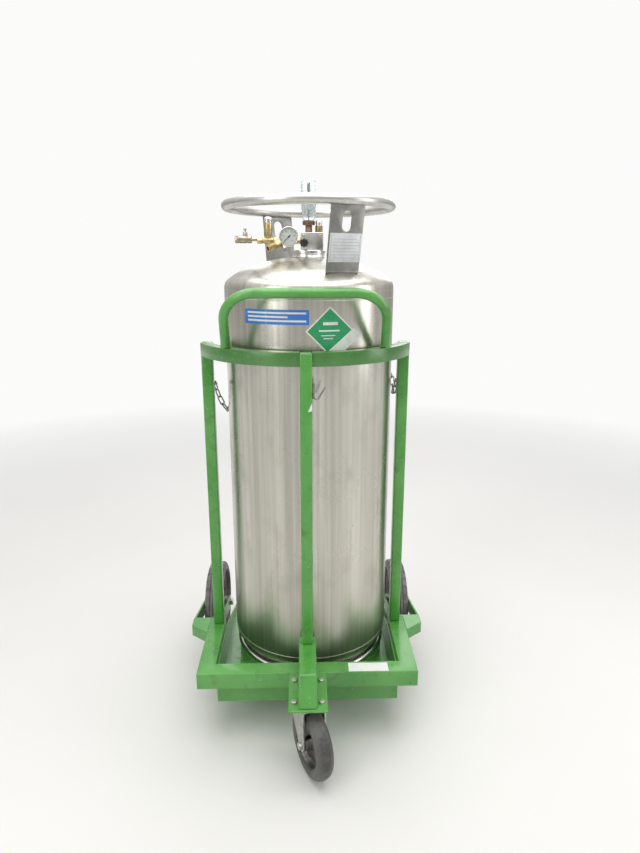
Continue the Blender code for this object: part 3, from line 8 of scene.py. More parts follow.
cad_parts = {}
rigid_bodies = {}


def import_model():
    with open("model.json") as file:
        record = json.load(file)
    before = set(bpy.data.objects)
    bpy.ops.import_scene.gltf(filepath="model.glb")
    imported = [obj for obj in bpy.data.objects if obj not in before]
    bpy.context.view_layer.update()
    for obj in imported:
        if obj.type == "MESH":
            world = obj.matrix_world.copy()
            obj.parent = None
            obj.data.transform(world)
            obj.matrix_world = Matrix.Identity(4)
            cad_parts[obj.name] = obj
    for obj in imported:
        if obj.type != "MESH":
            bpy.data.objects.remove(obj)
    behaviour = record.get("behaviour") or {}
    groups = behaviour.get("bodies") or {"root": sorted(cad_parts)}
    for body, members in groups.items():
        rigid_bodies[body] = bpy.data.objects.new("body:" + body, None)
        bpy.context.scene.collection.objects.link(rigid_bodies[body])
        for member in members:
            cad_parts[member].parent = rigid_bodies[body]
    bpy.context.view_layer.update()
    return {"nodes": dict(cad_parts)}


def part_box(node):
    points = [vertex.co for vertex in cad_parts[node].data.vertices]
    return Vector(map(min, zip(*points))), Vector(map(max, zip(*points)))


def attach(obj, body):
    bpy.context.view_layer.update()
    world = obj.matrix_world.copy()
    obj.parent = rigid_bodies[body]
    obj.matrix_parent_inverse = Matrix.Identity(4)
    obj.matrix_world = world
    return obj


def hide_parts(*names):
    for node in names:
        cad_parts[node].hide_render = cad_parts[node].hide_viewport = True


for old in list(bpy.data.objects):
    bpy.data.objects.remove(old)
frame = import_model()
nodes = frame["nodes"]


# where things stand: the dewar's axis and the two planes that most pieces are measured from
dewar = {
    "x": 0.012,
    "y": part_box("base_frame")[0][1] + 0.337,
    "shellRadius": 0.254,
    "shoulder": 1.338,
    "top": 1.426,
}
axisPoint = Vector((dewar["x"], dewar["y"], 0))


class Wire:
    # a socket that can be used in sums
    def __init__(self, paint, socket):
        self.paint = paint
        self.socket = socket

    def maths(self, operation, *others):
        values = dict(enumerate((self, *others)))
        return self.paint.node("ShaderNodeMath", {"operation": operation}, values)

    def __add__(self, other):
        return self.maths("ADD", other)

    def __mul__(self, other):
        return self.maths("MULTIPLY", other)

    def __sub__(self, other):
        return self.maths("SUBTRACT", other)

    def __truediv__(self, other):
        return self.maths("DIVIDE", other)

    def __rsub__(self, other):
        return self.paint.node("ShaderNodeMath", {"operation": "SUBTRACT"}, {0: other, 1: self})

    __radd__ = __add__
    __rmul__ = __mul__


class Mixer:
    # lays nodes in a tree, one call for each node
    def __init__(self, tree):
        self.tree = tree

    def node(self, kind, settings=None, inputs=None, output=0):
        made = self.tree.nodes.new(kind)
        for key, value in (settings or {}).items():
            if key == "stops":
                ramp = made.color_ramp
                while len(ramp.elements) < len(value):
                    ramp.elements.new(0.5)
                for element, (place, shade) in zip(ramp.elements, value):
                    element.position = place
                    element.color = shade
            else:
                setattr(made, key, value)
        for key, value in (inputs or {}).items():
            if isinstance(value, Wire):
                self.tree.links.new(value.socket, made.inputs[key])
            else:
                made.inputs[key].default_value = value
        return Wire(self, made.outputs[output])

    def place(self, stretch=(1, 1, 1), centre=(0, 0, 0), turn=(0, 0, 0)):
        spot = self.node("ShaderNodeTexCoord", output="Object")
        settings = {"vector_type": "TEXTURE"}
        return self.node("ShaderNodeMapping", settings, {
            "Vector": spot, "Location": centre, "Rotation": turn,
            "Scale": tuple(1 / s for s in stretch)})

    def noise(self, scale, stretch=(1, 1, 1), detail=3.0, rough=0.5, centre=(0, 0, 0)):
        return self.node("ShaderNodeTexNoise", {"noise_dimensions": "3D"}, {
            "Vector": self.place(stretch, centre), "Scale": scale, "Detail": detail,
            "Roughness": rough}, "Fac")

    def ramp(self, value, low, high, start=0.0, end=1.0):
        return self.node("ShaderNodeMapRange", {"clamp": True}, {
            0: value, 1: low, 2: high, 3: start, 4: end})

    def blend(self, factor, first, second):
        return self.node("ShaderNodeMix", {"data_type": "RGBA"}, {0: factor, 6: first, 7: second}, 2)

    def parts(self, vector):
        split = self.node("ShaderNodeSeparateXYZ", {}, {0: vector})
        made = split.socket.node
        return [Wire(self, made.outputs[i]) for i in range(3)]

    def seen(self):
        # 1 for what the camera, a reflection or a clear piece looks at, 0 for light on a surface
        rays = [self.node("ShaderNodeLightPath", output=f"Is {kind} Ray")
                for kind in ("Camera", "Glossy", "Transmission")]
        return rays[0].maths("MAXIMUM", rays[1]).maths("MAXIMUM", rays[2])


class Paint(Mixer):
    def __init__(self, name, **fixed):
        self.material = bpy.data.materials.new(name)
        self.material.use_nodes = True
        super().__init__(self.material.node_tree)
        self.shader = self.tree.nodes["Principled BSDF"]
        for socket, value in fixed.items():
            self.shader.inputs[socket.replace("_", " ")].default_value = value

    def bumps(self, height, distance, strength):
        return self.node("ShaderNodeBump", {}, {
            "Height": height, "Distance": distance, "Strength": strength})

    def use(self, **wires):
        for socket, wire in wires.items():
            self.tree.links.new(wire.socket, self.shader.inputs[socket.replace("_", " ")])
        return self.material


def colour(r, g, b):
    return (r, g, b, 1.0)


paintLook = {
    "base": colour(0.060, 0.285, 0.040), "faded": colour(0.105, 0.365, 0.070),
    # the band tones are the same green paint made darker: painted shade on the bands
    "bandShadedBase": colour(0.044, 0.180, 0.030), "bandShadedFaded": colour(0.078, 0.240, 0.052),
    "dirt": colour(0.050, 0.060, 0.035), "chip": colour(0.30, 0.34, 0.28),
}


def greenPaint(name, fresh, faded):
    # thick gloss enamel with brush waves, grime and small chips
    p = Paint(name, Coat_Roughness=0.16, Specular_IOR_Level=0.5)
    patches = p.noise(7.0, detail=4)
    grime = p.ramp(p.noise(26.0, detail=6, rough=0.65), 0.56, 0.72)
    chips = p.ramp(p.noise(140.0, detail=2), 0.705, 0.735)
    base = p.blend(p.ramp(patches, 0.35, 0.65), paintLook[fresh], paintLook[faded])
    soiled = p.blend(grime * 0.45, base, paintLook["dirt"])
    shade = p.blend(chips, soiled, paintLook["chip"])
    waves = p.noise(60.0, stretch=(1, 1, 0.35), detail=3)
    height = waves * 0.4 + (1 - chips) * 0.35
    return p.use(Base_Color=shade, Roughness=p.ramp(patches, 0.3, 0.7, 0.24, 0.36) + grime * 0.22,
                 Coat_Weight=(1 - chips) * 0.45, Normal=p.bumps(height, 0.0006, 0.5))


shellLook = {
    "light": colour(0.64, 0.622, 0.560), "dark": colour(0.42, 0.407, 0.355),
    "stain": colour(0.33, 0.30, 0.25), "dustTop": 0.62, "dustFoot": 0.25,
}


def stainlessShell():
    # rolled sheet: soft upright streaks and waves, faint handling marks, dust low down
    p = Paint("stainlessShell", Metallic=1.0)
    streaks = p.noise(11.0, stretch=(1, 1, 0.04), detail=5, rough=0.6)
    waves = p.noise(11.0, stretch=(1, 1, 0.04), detail=2)
    smears = p.noise(5.0, stretch=(1, 1, 0.5), detail=4)
    marks = p.ramp(p.noise(16.0, stretch=(1, 1, 0.5), detail=4, rough=0.55), 0.54, 0.72)
    lowDust = p.ramp(p.parts(p.place())[2], shellLook["dustTop"], shellLook["dustFoot"])
    hairs = p.noise(70.0, stretch=(1, 1, 0.015), detail=3)
    base = p.blend(p.ramp(streaks * 0.6 + hairs * 0.4, 0.38, 0.62), shellLook["dark"], shellLook["light"])
    shade = p.blend(marks * 0.30, base, shellLook["stain"])
    rough = p.ramp(smears, 0.3, 0.7, 0.22, 0.33) + marks * 0.10 + lowDust * 0.13
    return p.use(Base_Color=shade, Roughness=rough,
                 Normal=p.bumps(waves, 0.0010, 0.25))


def metal(name, first, second, rough, scale=60.0, grain=(1, 1, 1), pit=0.0002, soil=0.25):
    # plain metal with mottling, dark grime in patches and a fine tooling grain
    p = Paint(name, Metallic=1.0)
    mottle = p.noise(scale, detail=5, rough=0.6)
    soot = p.ramp(p.noise(scale * 0.6, detail=6, rough=0.7), 0.54, 0.74)
    lines = p.noise(900.0, stretch=grain, detail=2)
    base = p.blend(p.ramp(mottle, 0.3, 0.7), first, second)
    shade = p.blend(soot * soil, base, colour(0.06, 0.055, 0.05))
    return p.use(Base_Color=shade, Roughness=p.ramp(mottle, 0.3, 0.7, rough - 0.05, rough + 0.07)
                 + soot * 0.15 + lines * 0.04, Normal=p.bumps(lines * 0.5 + mottle, pit, 0.4))


def rubber(name, base, dust, rough, scale):
    # rubber that has rolled on a dusty floor
    p = Paint(name, Specular_IOR_Level=0.35)
    mottle = p.noise(scale, detail=6, rough=0.65)
    powder = p.ramp(p.noise(scale * 0.35, detail=5, rough=0.7), 0.42, 0.70)
    height = p.noise(scale * 9, detail=2)
    shade = p.blend(powder * 0.55 + p.ramp(mottle, 0.4, 0.8) * 0.15, base, dust)
    return p.use(Base_Color=shade, Roughness=rough + powder * 0.12,
                 Normal=p.bumps(height * 0.5 + mottle * 0.5, 0.0003, 0.5))


def plastic(name, base, worn, rough, coat=0.0):
    p = Paint(name, Coat_Weight=coat)
    wear = p.ramp(p.noise(90.0, detail=5, rough=0.6), 0.50, 0.75)
    grain = p.noise(1500.0, detail=1)
    return p.use(Base_Color=p.blend(wear * 0.5, base, worn), Roughness=rough + wear * 0.12,
                 Normal=p.bumps(grain, 0.00015, 0.4))


def clearPlastic():
    # the sight tube: clear, faintly blue, a little hazed where it has been handled
    p = Paint("clearPlastic", Transmission_Weight=0.85, IOR=1.45, Specular_IOR_Level=0.5)
    haze = p.ramp(p.noise(45.0, stretch=(1, 1, 0.4), detail=5), 0.35, 0.75)
    shade = p.blend(haze, colour(0.88, 0.965, 0.975), colour(0.95, 0.98, 0.98))
    return p.use(Base_Color=shade, Roughness=0.07 + haze * 0.16,
                 Normal=p.bumps(haze, 0.0004, 0.25))


def gaugeGlass():
    p = Paint("gaugeGlass", Transmission_Weight=1.0, IOR=1.40)
    haze = p.ramp(p.noise(120.0, detail=5), 0.40, 0.80)
    return p.use(Base_Color=p.blend(haze, colour(1.0, 1.0, 1.0), colour(0.95, 0.96, 0.95)),
                 Roughness=0.02 + haze * 0.10)


def printedPlate():
    # bare sheet with faint ruled lines and smudges, no words
    p = Paint("printedPlate", Metallic=0.15)
    smudge = p.ramp(p.noise(40.0, detail=5), 0.40, 0.72)
    fine = p.noise(700.0, stretch=(0.1, 0.1, 1), detail=2)
    shade = p.blend(smudge, colour(0.70, 0.71, 0.73), colour(0.58, 0.59, 0.61))
    return p.use(Base_Color=shade, Roughness=0.36 + smudge * 0.12, Normal=p.bumps(fine, 0.0002, 0.4))


def label(name, base, stain, rough=0.5):
    p = Paint(name, Specular_IOR_Level=0.4)
    rub = p.ramp(p.noise(55.0, detail=6, rough=0.7), 0.50, 0.72)
    fibre = p.noise(1100.0, detail=2)
    return p.use(Base_Color=p.blend(rub * 0.5, base, stain), Roughness=rough + rub * 0.15,
                 Normal=p.bumps(fibre, 0.0001, 0.4))


# every finish: the name of its slot, and its material
finishes = {
    "green": ("green_paint", greenPaint("greenPaint", "base", "faded")),
    # a darker copy of the green paint, painted shade for the bands
    "bandShadedGreen": ("green_paint", greenPaint("shadedGreenPaint", "bandShadedBase", "bandShadedFaded")),
    "shell": ("stainless", stainlessShell()),
    "tube": ("stainless",
             metal("stainlessTube", colour(0.64, 0.63, 0.60),
                   colour(0.52, 0.51, 0.48), 0.27, scale=24.0, soil=0.12)),
    "bracket": ("stainless",
                metal("bracketSteel", colour(0.34, 0.335, 0.315),
                      colour(0.24, 0.235, 0.22), 0.36, scale=30.0, grain=(1, 1, 0.04), soil=0.15)),
    "bright": ("bright_steel",
               metal("brightSteel", colour(0.76, 0.75, 0.73), colour(0.62, 0.61, 0.59), 0.20, soil=0.2)),
    "zinc": ("zinc",
             metal("zincPlate", colour(0.62, 0.62, 0.58), colour(0.44, 0.44, 0.41), 0.40, soil=0.35)),
    "darkSteel": ("dark_steel",
                  metal("darkSteel", colour(0.20, 0.195, 0.18), colour(0.10, 0.095, 0.09), 0.38, soil=0.3)),
    "chain": ("dark_steel",
              metal("chainSteel", colour(0.40, 0.39, 0.36), colour(0.22, 0.20, 0.18), 0.34, soil=0.35)),
    "brass": ("brass", metal("brass", colour(0.62, 0.51, 0.27), colour(0.44, 0.34, 0.17), 0.28, soil=0.3)),
    "bronze": ("bronze",
               metal("bronze", colour(0.30, 0.20, 0.14), colour(0.17, 0.12, 0.09), 0.34, soil=0.3)),
    "copper": ("copper",
               metal("copper", colour(0.72, 0.38, 0.24), colour(0.50, 0.26, 0.17), 0.30, soil=0.2)),
    "nickel": ("bright_steel",
               metal("nickelledBrass", colour(0.52, 0.46, 0.37), colour(0.36, 0.30, 0.23), 0.25, soil=0.3)),
    "tread": ("tread_rubber",
              rubber("treadRubber", colour(0.105, 0.101, 0.100), colour(0.34, 0.33, 0.315), 0.50, 30.0)),
    "casterRubber": ("caster_rubber",
                     rubber("casterRubber", colour(0.060, 0.059, 0.056),
                            colour(0.24, 0.235, 0.215), 0.46, 40.0)),
    "black": ("black_plastic",
              plastic("blackPlastic", colour(0.018, 0.018, 0.018), colour(0.055, 0.055, 0.052), 0.32, 0.2)),
    "clear": ("clear_plastic", clearPlastic()),
    "glass": ("clear_plastic", gaugeGlass()),
    "plate": ("white_plate", printedPlate()),
    "dial": ("white_plate", label("dialCard", colour(0.86, 0.87, 0.86), colour(0.74, 0.74, 0.73), 0.45)),
    "ink": ("black_plastic", label("dialInk", colour(0.02, 0.02, 0.02), colour(0.06, 0.06, 0.06), 0.5)),
    "rule": ("white_plate", label("ruledInk", colour(0.34, 0.34, 0.35), colour(0.46, 0.46, 0.47), 0.5)),
    "blueFilm": ("white_plate",
                 label("blueFilm", colour(0.045, 0.200, 0.640), colour(0.12, 0.30, 0.70), 0.35)),
    "whiteFilm": ("white_plate",
                  label("whiteFilm", colour(0.80, 0.81, 0.79), colour(0.55, 0.54, 0.50), 0.4)),
    "greenFilm": ("white_plate",
                  label("greenFilm", colour(0.030, 0.330, 0.130), colour(0.12, 0.42, 0.22), 0.35)),
}
print("finishes mixed:", len(finishes))


def clearSelection():
    bpy.ops.object.select_all(action="DESELECT")


def pick(part):
    clearSelection()
    part.select_set(True)
    bpy.context.view_layer.objects.active = part


def added(name):
    # names what was just added; its place goes into the mesh, so that patterns start from the origin
    part = bpy.context.object
    part.name = part.data.name = name
    pick(part)
    bpy.ops.object.transform_apply(location=True, rotation=True, scale=True)
    return part


def edit(part, kind="VERT"):
    pick(part)
    bpy.ops.object.mode_set(mode="EDIT")
    bpy.ops.mesh.select_mode(type=kind)
    bpy.ops.mesh.select_all(action="DESELECT")


def leave():
    bpy.ops.object.mode_set(mode="OBJECT")


def choose(part, test, kind="faces"):
    # picks faces or edges by their middle and direction, or vertices by their place
    bpy.ops.mesh.select_all(action="DESELECT")
    mesh = bmesh.from_edit_mesh(part.data)
    for element in getattr(mesh, kind):
        if kind == "faces":
            hit = test(element.calc_center_median(), element.normal)
        elif kind == "edges":
            ends = [v.co for v in element.verts]
            hit = test((ends[0] + ends[1]) / 2, (ends[1] - ends[0]).normalized())
        else:
            hit = test(element.co)
        if hit:
            element.select_set(True)
    mesh.select_flush_mode()
    bmesh.update_edit_mesh(part.data)


def tidyNormals():
    bpy.ops.mesh.select_all(action="SELECT")
    bpy.ops.mesh.remove_doubles(threshold=0.000004)
    bpy.ops.mesh.normals_make_consistent(inside=False)


def withModifier(part, kind, **settings):
    pick(part)
    change = part.modifiers.new(kind.title(), kind)
    for key, value in settings.items():
        setattr(change, key, value)
    bpy.ops.object.modifier_apply(modifier=change.name)
    return part


def rounded(part, width, segments=3, angle=30):
    return withModifier(part, "BEVEL", width=width, segments=segments, limit_method="ANGLE",
                        angle_limit=radians(angle), use_clamp_overlap=True)


def pen(name, points, closed=False):
    # a line drawn vertex by vertex, each extruded from the last
    clearSelection()
    bpy.ops.mesh.primitive_plane_add(size=0.001, location=(0, 0, 0))
    part = bpy.context.object
    part.name = part.data.name = name
    bpy.ops.object.mode_set(mode="EDIT")
    bpy.ops.mesh.select_mode(type="VERT")
    bpy.ops.mesh.select_all(action="SELECT")
    bpy.ops.mesh.merge(type="CENTER")
    spots = [Vector(p) for p in points]
    bpy.ops.transform.translate(value=spots[0])
    for last, spot in zip(spots, spots[1:]):
        bpy.ops.mesh.extrude_vertices_move(TRANSFORM_OT_translate={"value": spot - last})
    if closed:
        bpy.ops.mesh.select_all(action="SELECT")
        bpy.ops.mesh.edge_face_add()
    return part


def plate(name, outline, axis, low, high, edge=0.0, segments=2):
    # an outline in the plane across the axis, pulled from low to high
    def spot(a, b):
        return {"X": (low, a, b), "Y": (a, low, b), "Z": (a, b, low)}[axis]
    part = pen(name, [spot(a, b) for a, b in outline], closed=True)
    pull = {"X": (1, 0, 0), "Y": (0, 1, 0), "Z": (0, 0, 1)}[axis]
    bpy.ops.mesh.extrude_region_move(
        TRANSFORM_OT_translate={"value": tuple(v * (high - low) for v in pull)})
    tidyNormals()
    leave()
    return rounded(part, edge, segments) if edge else part


def block(name, low, high, edge, segments=3):
    low, high = Vector(low), Vector(high)
    clearSelection()
    bpy.ops.mesh.primitive_cube_add(size=1, location=(low + high) / 2, scale=high - low)
    return rounded(added(name), edge, segments)


def aim(axis):
    return Vector(axis).to_track_quat("Z", "Y")


def swing(steps, angle, centre, axis):
    # Blender's own spin turns clockwise about its axis, so the angle is passed on with its sign changed
    bpy.ops.mesh.spin(steps=steps, angle=-angle, center=centre, axis=axis)


def spun(name, profile, centre=(0, 0, 0), axis=(0, 0, 1), steps=64, edge=0.0, segments=2):
    # a profile of (radius, height) turned about an axis, as on a lathe
    turn, centre = aim(axis), Vector(centre)
    points = [centre + turn @ Vector((r, 0, h)) for r, h in profile]
    part = pen(name, points)
    bpy.ops.mesh.select_all(action="SELECT")
    swing(steps, 2 * pi, centre, turn @ Vector((0, 0, 1)))
    tidyNormals()
    leave()
    return rounded(part, edge, segments, 28) if edge else part


def sixSided(name, profile, centre, axis=(0, 0, 1), edge=0.0006, twist=0.0):
    # nuts and hexagon bases: the same lathe work in six steps, its radii measured to the flats
    grown = [(r / cos(pi / 6), h) for r, h in profile]
    turn = aim(axis) @ Matrix.Rotation(twist, 3, "Z").to_quaternion()
    centre = Vector(centre)
    part = pen(name, [centre + turn @ Vector((r, 0, h)) for r, h in grown])
    bpy.ops.mesh.select_all(action="SELECT")
    swing(6, 2 * pi, centre, turn @ Vector((0, 0, 1)))
    tidyNormals()
    leave()
    return rounded(part, edge, 2)


def nutProfile(flat, face, start, end, low=0.001, high=0.001, bore=0.0):
    # half a nut's section: flat is the radius to its flats, face that of its eased ends
    return [(bore, start), (face, start), (flat, start + low), (flat, end - high), (face, end), (bore, end)]


def bar(name, start, end, radius, steps=24, edge=0.0004):
    start, end = Vector(start), Vector(end)
    length = (end - start).length
    return spun(name, [(0, 0), (radius, 0), (radius, length), (0, length)], start, end - start,
                steps, edge)


def hoop(name, centre, radius, wire, around, across, rotation=(0, 0, 0)):
    clearSelection()
    bpy.ops.mesh.primitive_torus_add(location=centre, rotation=rotation, major_radius=radius,
                                     minor_radius=wire, major_segments=around, minor_segments=across)
    return added(name)


def aboutAxis(point, centre, axis):
    # how far out and how far along an axis a point lies, and which share of a turn round it
    spot = aim(axis).inverted() @ (point - centre)
    return Vector((spot.x, spot.y)).length, spot.z, atan2(spot.y, spot.x) / (2 * pi) % 1


def bentTube(name, start, radius, moves, steps=32):
    # a round tube: ("go", step) pulls its end on, ("bend", centre, axis, angle, steps) swings it round
    heading = Vector(moves[0][1])
    clearSelection()
    bpy.ops.mesh.primitive_circle_add(vertices=steps, radius=radius, fill_type="NGON", location=start,
                                      rotation=aim(heading).to_euler())
    part = added(name)
    edit(part, "FACE")
    bpy.ops.mesh.select_all(action="SELECT")
    for move in moves:
        if move[0] == "go":
            bpy.ops.mesh.extrude_region_move(TRANSFORM_OT_translate={"value": tuple(move[1])})
        else:
            swing(move[4], move[3], move[1], move[2])
    tidyNormals()
    leave()
    return part


def joined(name, *parts):
    clearSelection()
    for part in parts:
        part.select_set(True)
    bpy.context.view_layer.objects.active = parts[0]
    bpy.ops.object.join()
    parts[0].name = parts[0].data.name = name
    return parts[0]


def cut(part, cutter):
    withModifier(part, "BOOLEAN", operation="DIFFERENCE", object=cutter, solver="EXACT")
    bpy.data.objects.remove(cutter)
    return part


def turnedCopy(part, name, matrix):
    copy = part.copy()
    copy.data = part.data.copy()
    bpy.context.scene.collection.objects.link(copy)
    copy.name = copy.data.name = name
    copy.data.transform(matrix)
    if matrix.determinant() < 0:
        copy.data.flip_normals()
    return copy


def finish(part, body, look, *hides, smooth=32):
    slot, material = finishes[look]
    part.data.materials.clear()
    part.data.materials.append(material)
    pick(part)
    bpy.ops.object.shade_smooth_by_angle(angle=radians(smooth))
    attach(part, body)
    if hides:
        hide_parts(*hides)
    return part


mirrorX = Matrix.Scale(-1, 4, (1, 0, 0))
root = "cart_and_dewar"


studio = {
    "eye": (-0.0044, dewar["y"] - 1.904, 1.4049), "look": (0.0252, 0.9667, -0.2549), "lens": 25.90,
    "floor": colour(0.72, 0.71, 0.69), "mottle": colour(0.78, 0.77, 0.75), "floorSize": 14,
    "floorLevel": -0.0005, "clearFloor": 1.5, "whiteFloor": 4.6,
    "wall": colour(0.965, 0.968, 0.96), "airLight": 0.62, "airRise": 0.55,
    "airLow": colour(0.46, 0.45, 0.43), "airHigh": colour(0.88, 0.88, 0.87),
}
# each lamp: its place, the way it faces, its width and height, its power
lamps = {
    "overheadSoftbox": ((0.0, -0.3, 3.3), (0, 0.05, -1), (3.4, 3.4), 88),
    "frontLeftSoftbox": ((-2.2, -2.3, 2.0), (0.68, 0.75, -0.35), (1.5, 1.9), 26),
    "rightSoftbox": ((2.7, -0.6, 1.7), (-1, 0.25, -0.25), (0.9, 2.0), 16),
    "backSoftbox": ((0.4, 2.9, 2.4), (-0.1, -1, -0.5), (2.4, 1.4), 22),
}


def facing(way):
    return Vector(way).to_track_quat("-Z", "Y").to_euler()


def makeCamera():
    bpy.ops.object.camera_add(location=studio["eye"], rotation=facing(studio["look"]))
    camera = bpy.context.object
    camera.data.sensor_fit = "VERTICAL"
    camera.data.sensor_height = 36
    camera.data.lens = studio["lens"]
    camera.data.clip_start = 0.02
    bpy.context.scene.camera = camera


def makeFloor():
    clearSelection()
    bpy.ops.mesh.primitive_plane_add(size=studio["floorSize"], location=(0, 0, studio["floorLevel"]))
    floor = added("studioFloor")
    p = Paint("studioFloorPaint", Roughness=0.62)
    floor.data.materials.append(p.use(
        Base_Color=p.blend(p.noise(1.2, detail=3), studio["floor"], studio["mottle"])))
    # far from the object the floor runs into the white wall, for what the camera and metal see
    far = p.node("ShaderNodeVectorMath", {"operation": "LENGTH"}, {0: p.place()}, "Value")
    glow = p.node("ShaderNodeEmission", {}, {"Color": studio["wall"]})
    cover = p.node("ShaderNodeMixShader", {}, {
        0: p.ramp(far, studio["clearFloor"], studio["whiteFloor"]) * p.seen(),
        1: Wire(p, p.shader.outputs[0]), 2: glow})
    p.tree.links.new(cover.socket, p.tree.nodes["Material Output"].inputs["Surface"])


def makeAir():
    # the air is white where it is looked at, and dimmer and shaded from below as a light
    world = bpy.data.worlds.new("studioAir")
    bpy.context.scene.world = world
    world.use_nodes = True
    air = Mixer(world.node_tree)
    rise = air.parts(air.node("ShaderNodeTexCoord", output="Generated"))[2]
    stops = [(0.0, studio["airLow"]), (studio["airRise"], studio["airHigh"])]
    sky = air.node("ShaderNodeValToRGB", {"stops": stops}, {"Fac": rise}, "Color")
    camera = air.node("ShaderNodeLightPath", output="Is Camera Ray")
    background = air.tree.nodes["Background"]
    for wire, socket in ((air.blend(camera, sky, studio["wall"]), "Color"),
                         (air.ramp(air.seen(), 0, 1, studio["airLight"], 1.0), "Strength")):
        air.tree.links.new(wire.socket, background.inputs[socket])


def makeLamps():
    for name, (place, way, size, power) in lamps.items():
        bpy.ops.object.light_add(type="AREA", location=place, rotation=facing(way))
        lamp = bpy.context.object
        lamp.name = name
        lamp.data.shape = "RECTANGLE"
        lamp.data.size, lamp.data.size_y = size
        lamp.data.energy = power


bpy.context.scene.view_settings.view_transform = "Standard"
makeCamera()
makeFloor()
makeAir()
makeLamps()
print("studio ready")


def dress(name, look, edge=0.0, segments=2):
    # a CAD node that stays: its corners are eased and it gets its finish
    node = nodes[name]
    node.data.materials.clear()
    node.data.materials.append(finishes[look][1])
    if edge:
        weld = node.modifiers.new("weld", "WELD")
        weld.merge_threshold = 0.00001
        ease = node.modifiers.new("ease", "BEVEL")
        ease.width, ease.segments = edge, segments
        ease.limit_method, ease.angle_limit = "ANGLE", radians(40)


cart = {"tubeEdge": 0.0046, "frameWall": 0.0032, "endDepth": 0.03, "bandRadiusX": 0.312,
        "bandDepth": 0.034, "bandSweep": radians(82), "bandSteps": 56, "tongueSlope": 0.046,
        "tongueEdge": 0.0052}


def makeBaseFrame():
    low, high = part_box("base_frame")
    rail = high[2] - low[2]
    side, front, back = high[0], low[1], high[1]
    inner = side - rail
    outline = [(-side, back), (-side, front), (side, front), (side, back), (inner, back),
               (inner, front + rail), (-inner, front + rail), (-inner, back)]
    part = plate("baseFrame", outline, "Z", low[2], high[2])
    edit(part, "FACE")
    choose(part, lambda c, n: n.y > 0.9 and c.y > back - 0.001)
    bpy.ops.mesh.inset(thickness=cart["frameWall"], use_individual=True)
    bpy.ops.mesh.extrude_region_move(TRANSFORM_OT_translate={"value": (0, -cart["endDepth"], 0)})
    leave()
    finish(rounded(part, cart["tubeEdge"], 4), root, "green", "base_frame")


def makePosts():
    for name in ("left_post", "right_post", "centre_post"):
        low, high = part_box(name)
        part = block(name.replace("_post", "Post"), low, high, cart["tubeEdge"], 4)
        finish(part, root, "green", name)


def makeBands():
    # a flat bar swept past the side post, then cut square at the centre line and at the post
    low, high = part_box("right_band")
    front, depth = low[1], cart["bandDepth"]
    reach = high[1] - front
    radius = (cart["bandRadiusX"] ** 2 + reach ** 2) / (2 * reach)
    corners = [(0, front, low[2]), (0, front + depth, low[2]), (0, front + depth, high[2]),
               (0, front, high[2])]
    right = pen("rightBand", corners, closed=True)
    bpy.ops.mesh.select_all(action="SELECT")
    swing(cart["bandSteps"], cart["bandSweep"], (0, front + radius, 0), (0, 0, 1))
    tidyNormals()
    for co, no in (((low[0], 0, 0), (1, 0, 0)), ((0, high[1], 0), (0, -1, 0))):
        bpy.ops.mesh.select_all(action="SELECT")
        bpy.ops.mesh.bisect(plane_co=co, plane_no=no, use_fill=True, clear_inner=True)
    leave()
    rounded(right, cart["tubeEdge"], 4, 50)
    left = turnedCopy(right, "leftBand", mirrorX)
    # both bands take the darker copy of the green paint: painted shade
    finish(right, root, "bandShadedGreen", "right_band")
    finish(left, root, "bandShadedGreen", "left_band")


handle = {"tube": 0.01335, "halfWidth": 0.222, "barHalfWidth": 0.216, "top": 1.334, "bend": 0.088,
          "lean": 0.285, "footLift": 0.002, "bead": 0.0024, "beadLift": 0.0035, "beadForward": 0.001}


def makePushHandle():
    low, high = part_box("push_handle")
    footY = high[1] - handle["tube"] * 0.98
    foot = Vector((-handle["halfWidth"], footY, low[2] + handle["footLift"]))
    corner = Vector((-handle["barHalfWidth"], dewar["y"] - handle["lean"], handle["top"]))
    up, across = (corner - foot).normalized(), Vector((1, 0, 0))
    turn = across.angle(-up)
    back = handle["bend"] / tan(turn / 2)
    middle = corner + (across - up).normalized() * (handle["bend"] / sin(turn / 2))
    start, barStart = corner - up * back, corner + across * back
    flip = Matrix.Scale(-1, 3, (1, 0, 0))
    down = -(flip @ up)
    sweep = pi - turn
    tube = bentTube("pushHandle", foot, handle["tube"], [
        ("go", start - foot), ("bend", middle, up.cross(across).normalized(), sweep, 14),
        ("go", flip @ barStart - barStart),
        ("bend", flip @ middle, across.cross(down).normalized(), sweep, 14),
        ("go", down * (start - foot).length)], 36)
    beads = [hoop("handleBead", (side * handle["halfWidth"], footY - handle["beadForward"],
                                 low[2] + handle["beadLift"]), handle["tube"] * 1.03, handle["bead"], 40, 8)
             for side in (-1, 1)]
    finish(joined("pushHandle", tube, *beads), root, "green", "push_handle")


def makeTongue():
    low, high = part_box("tongue_tube")
    outline = [(low[1], low[2]), (high[1], low[2]), (high[1], high[2]),
               (low[1] + cart["tongueSlope"], high[2])]
    part = plate("tongueTube", outline, "X", low[0], high[0], cart["tongueEdge"], 4)
    finish(part, root, "green", "tongue_tube")


bolt = {"head": 0.0080, "headHeight": 0.0062, "washer": 0.0088, "washerThick": 0.0012, "hole": 0.005,
        "shank": 0.0048, "nut": 0.0078, "nutHeight": 0.0066, "nutRise": 0.0028, "turn": radians(15)}


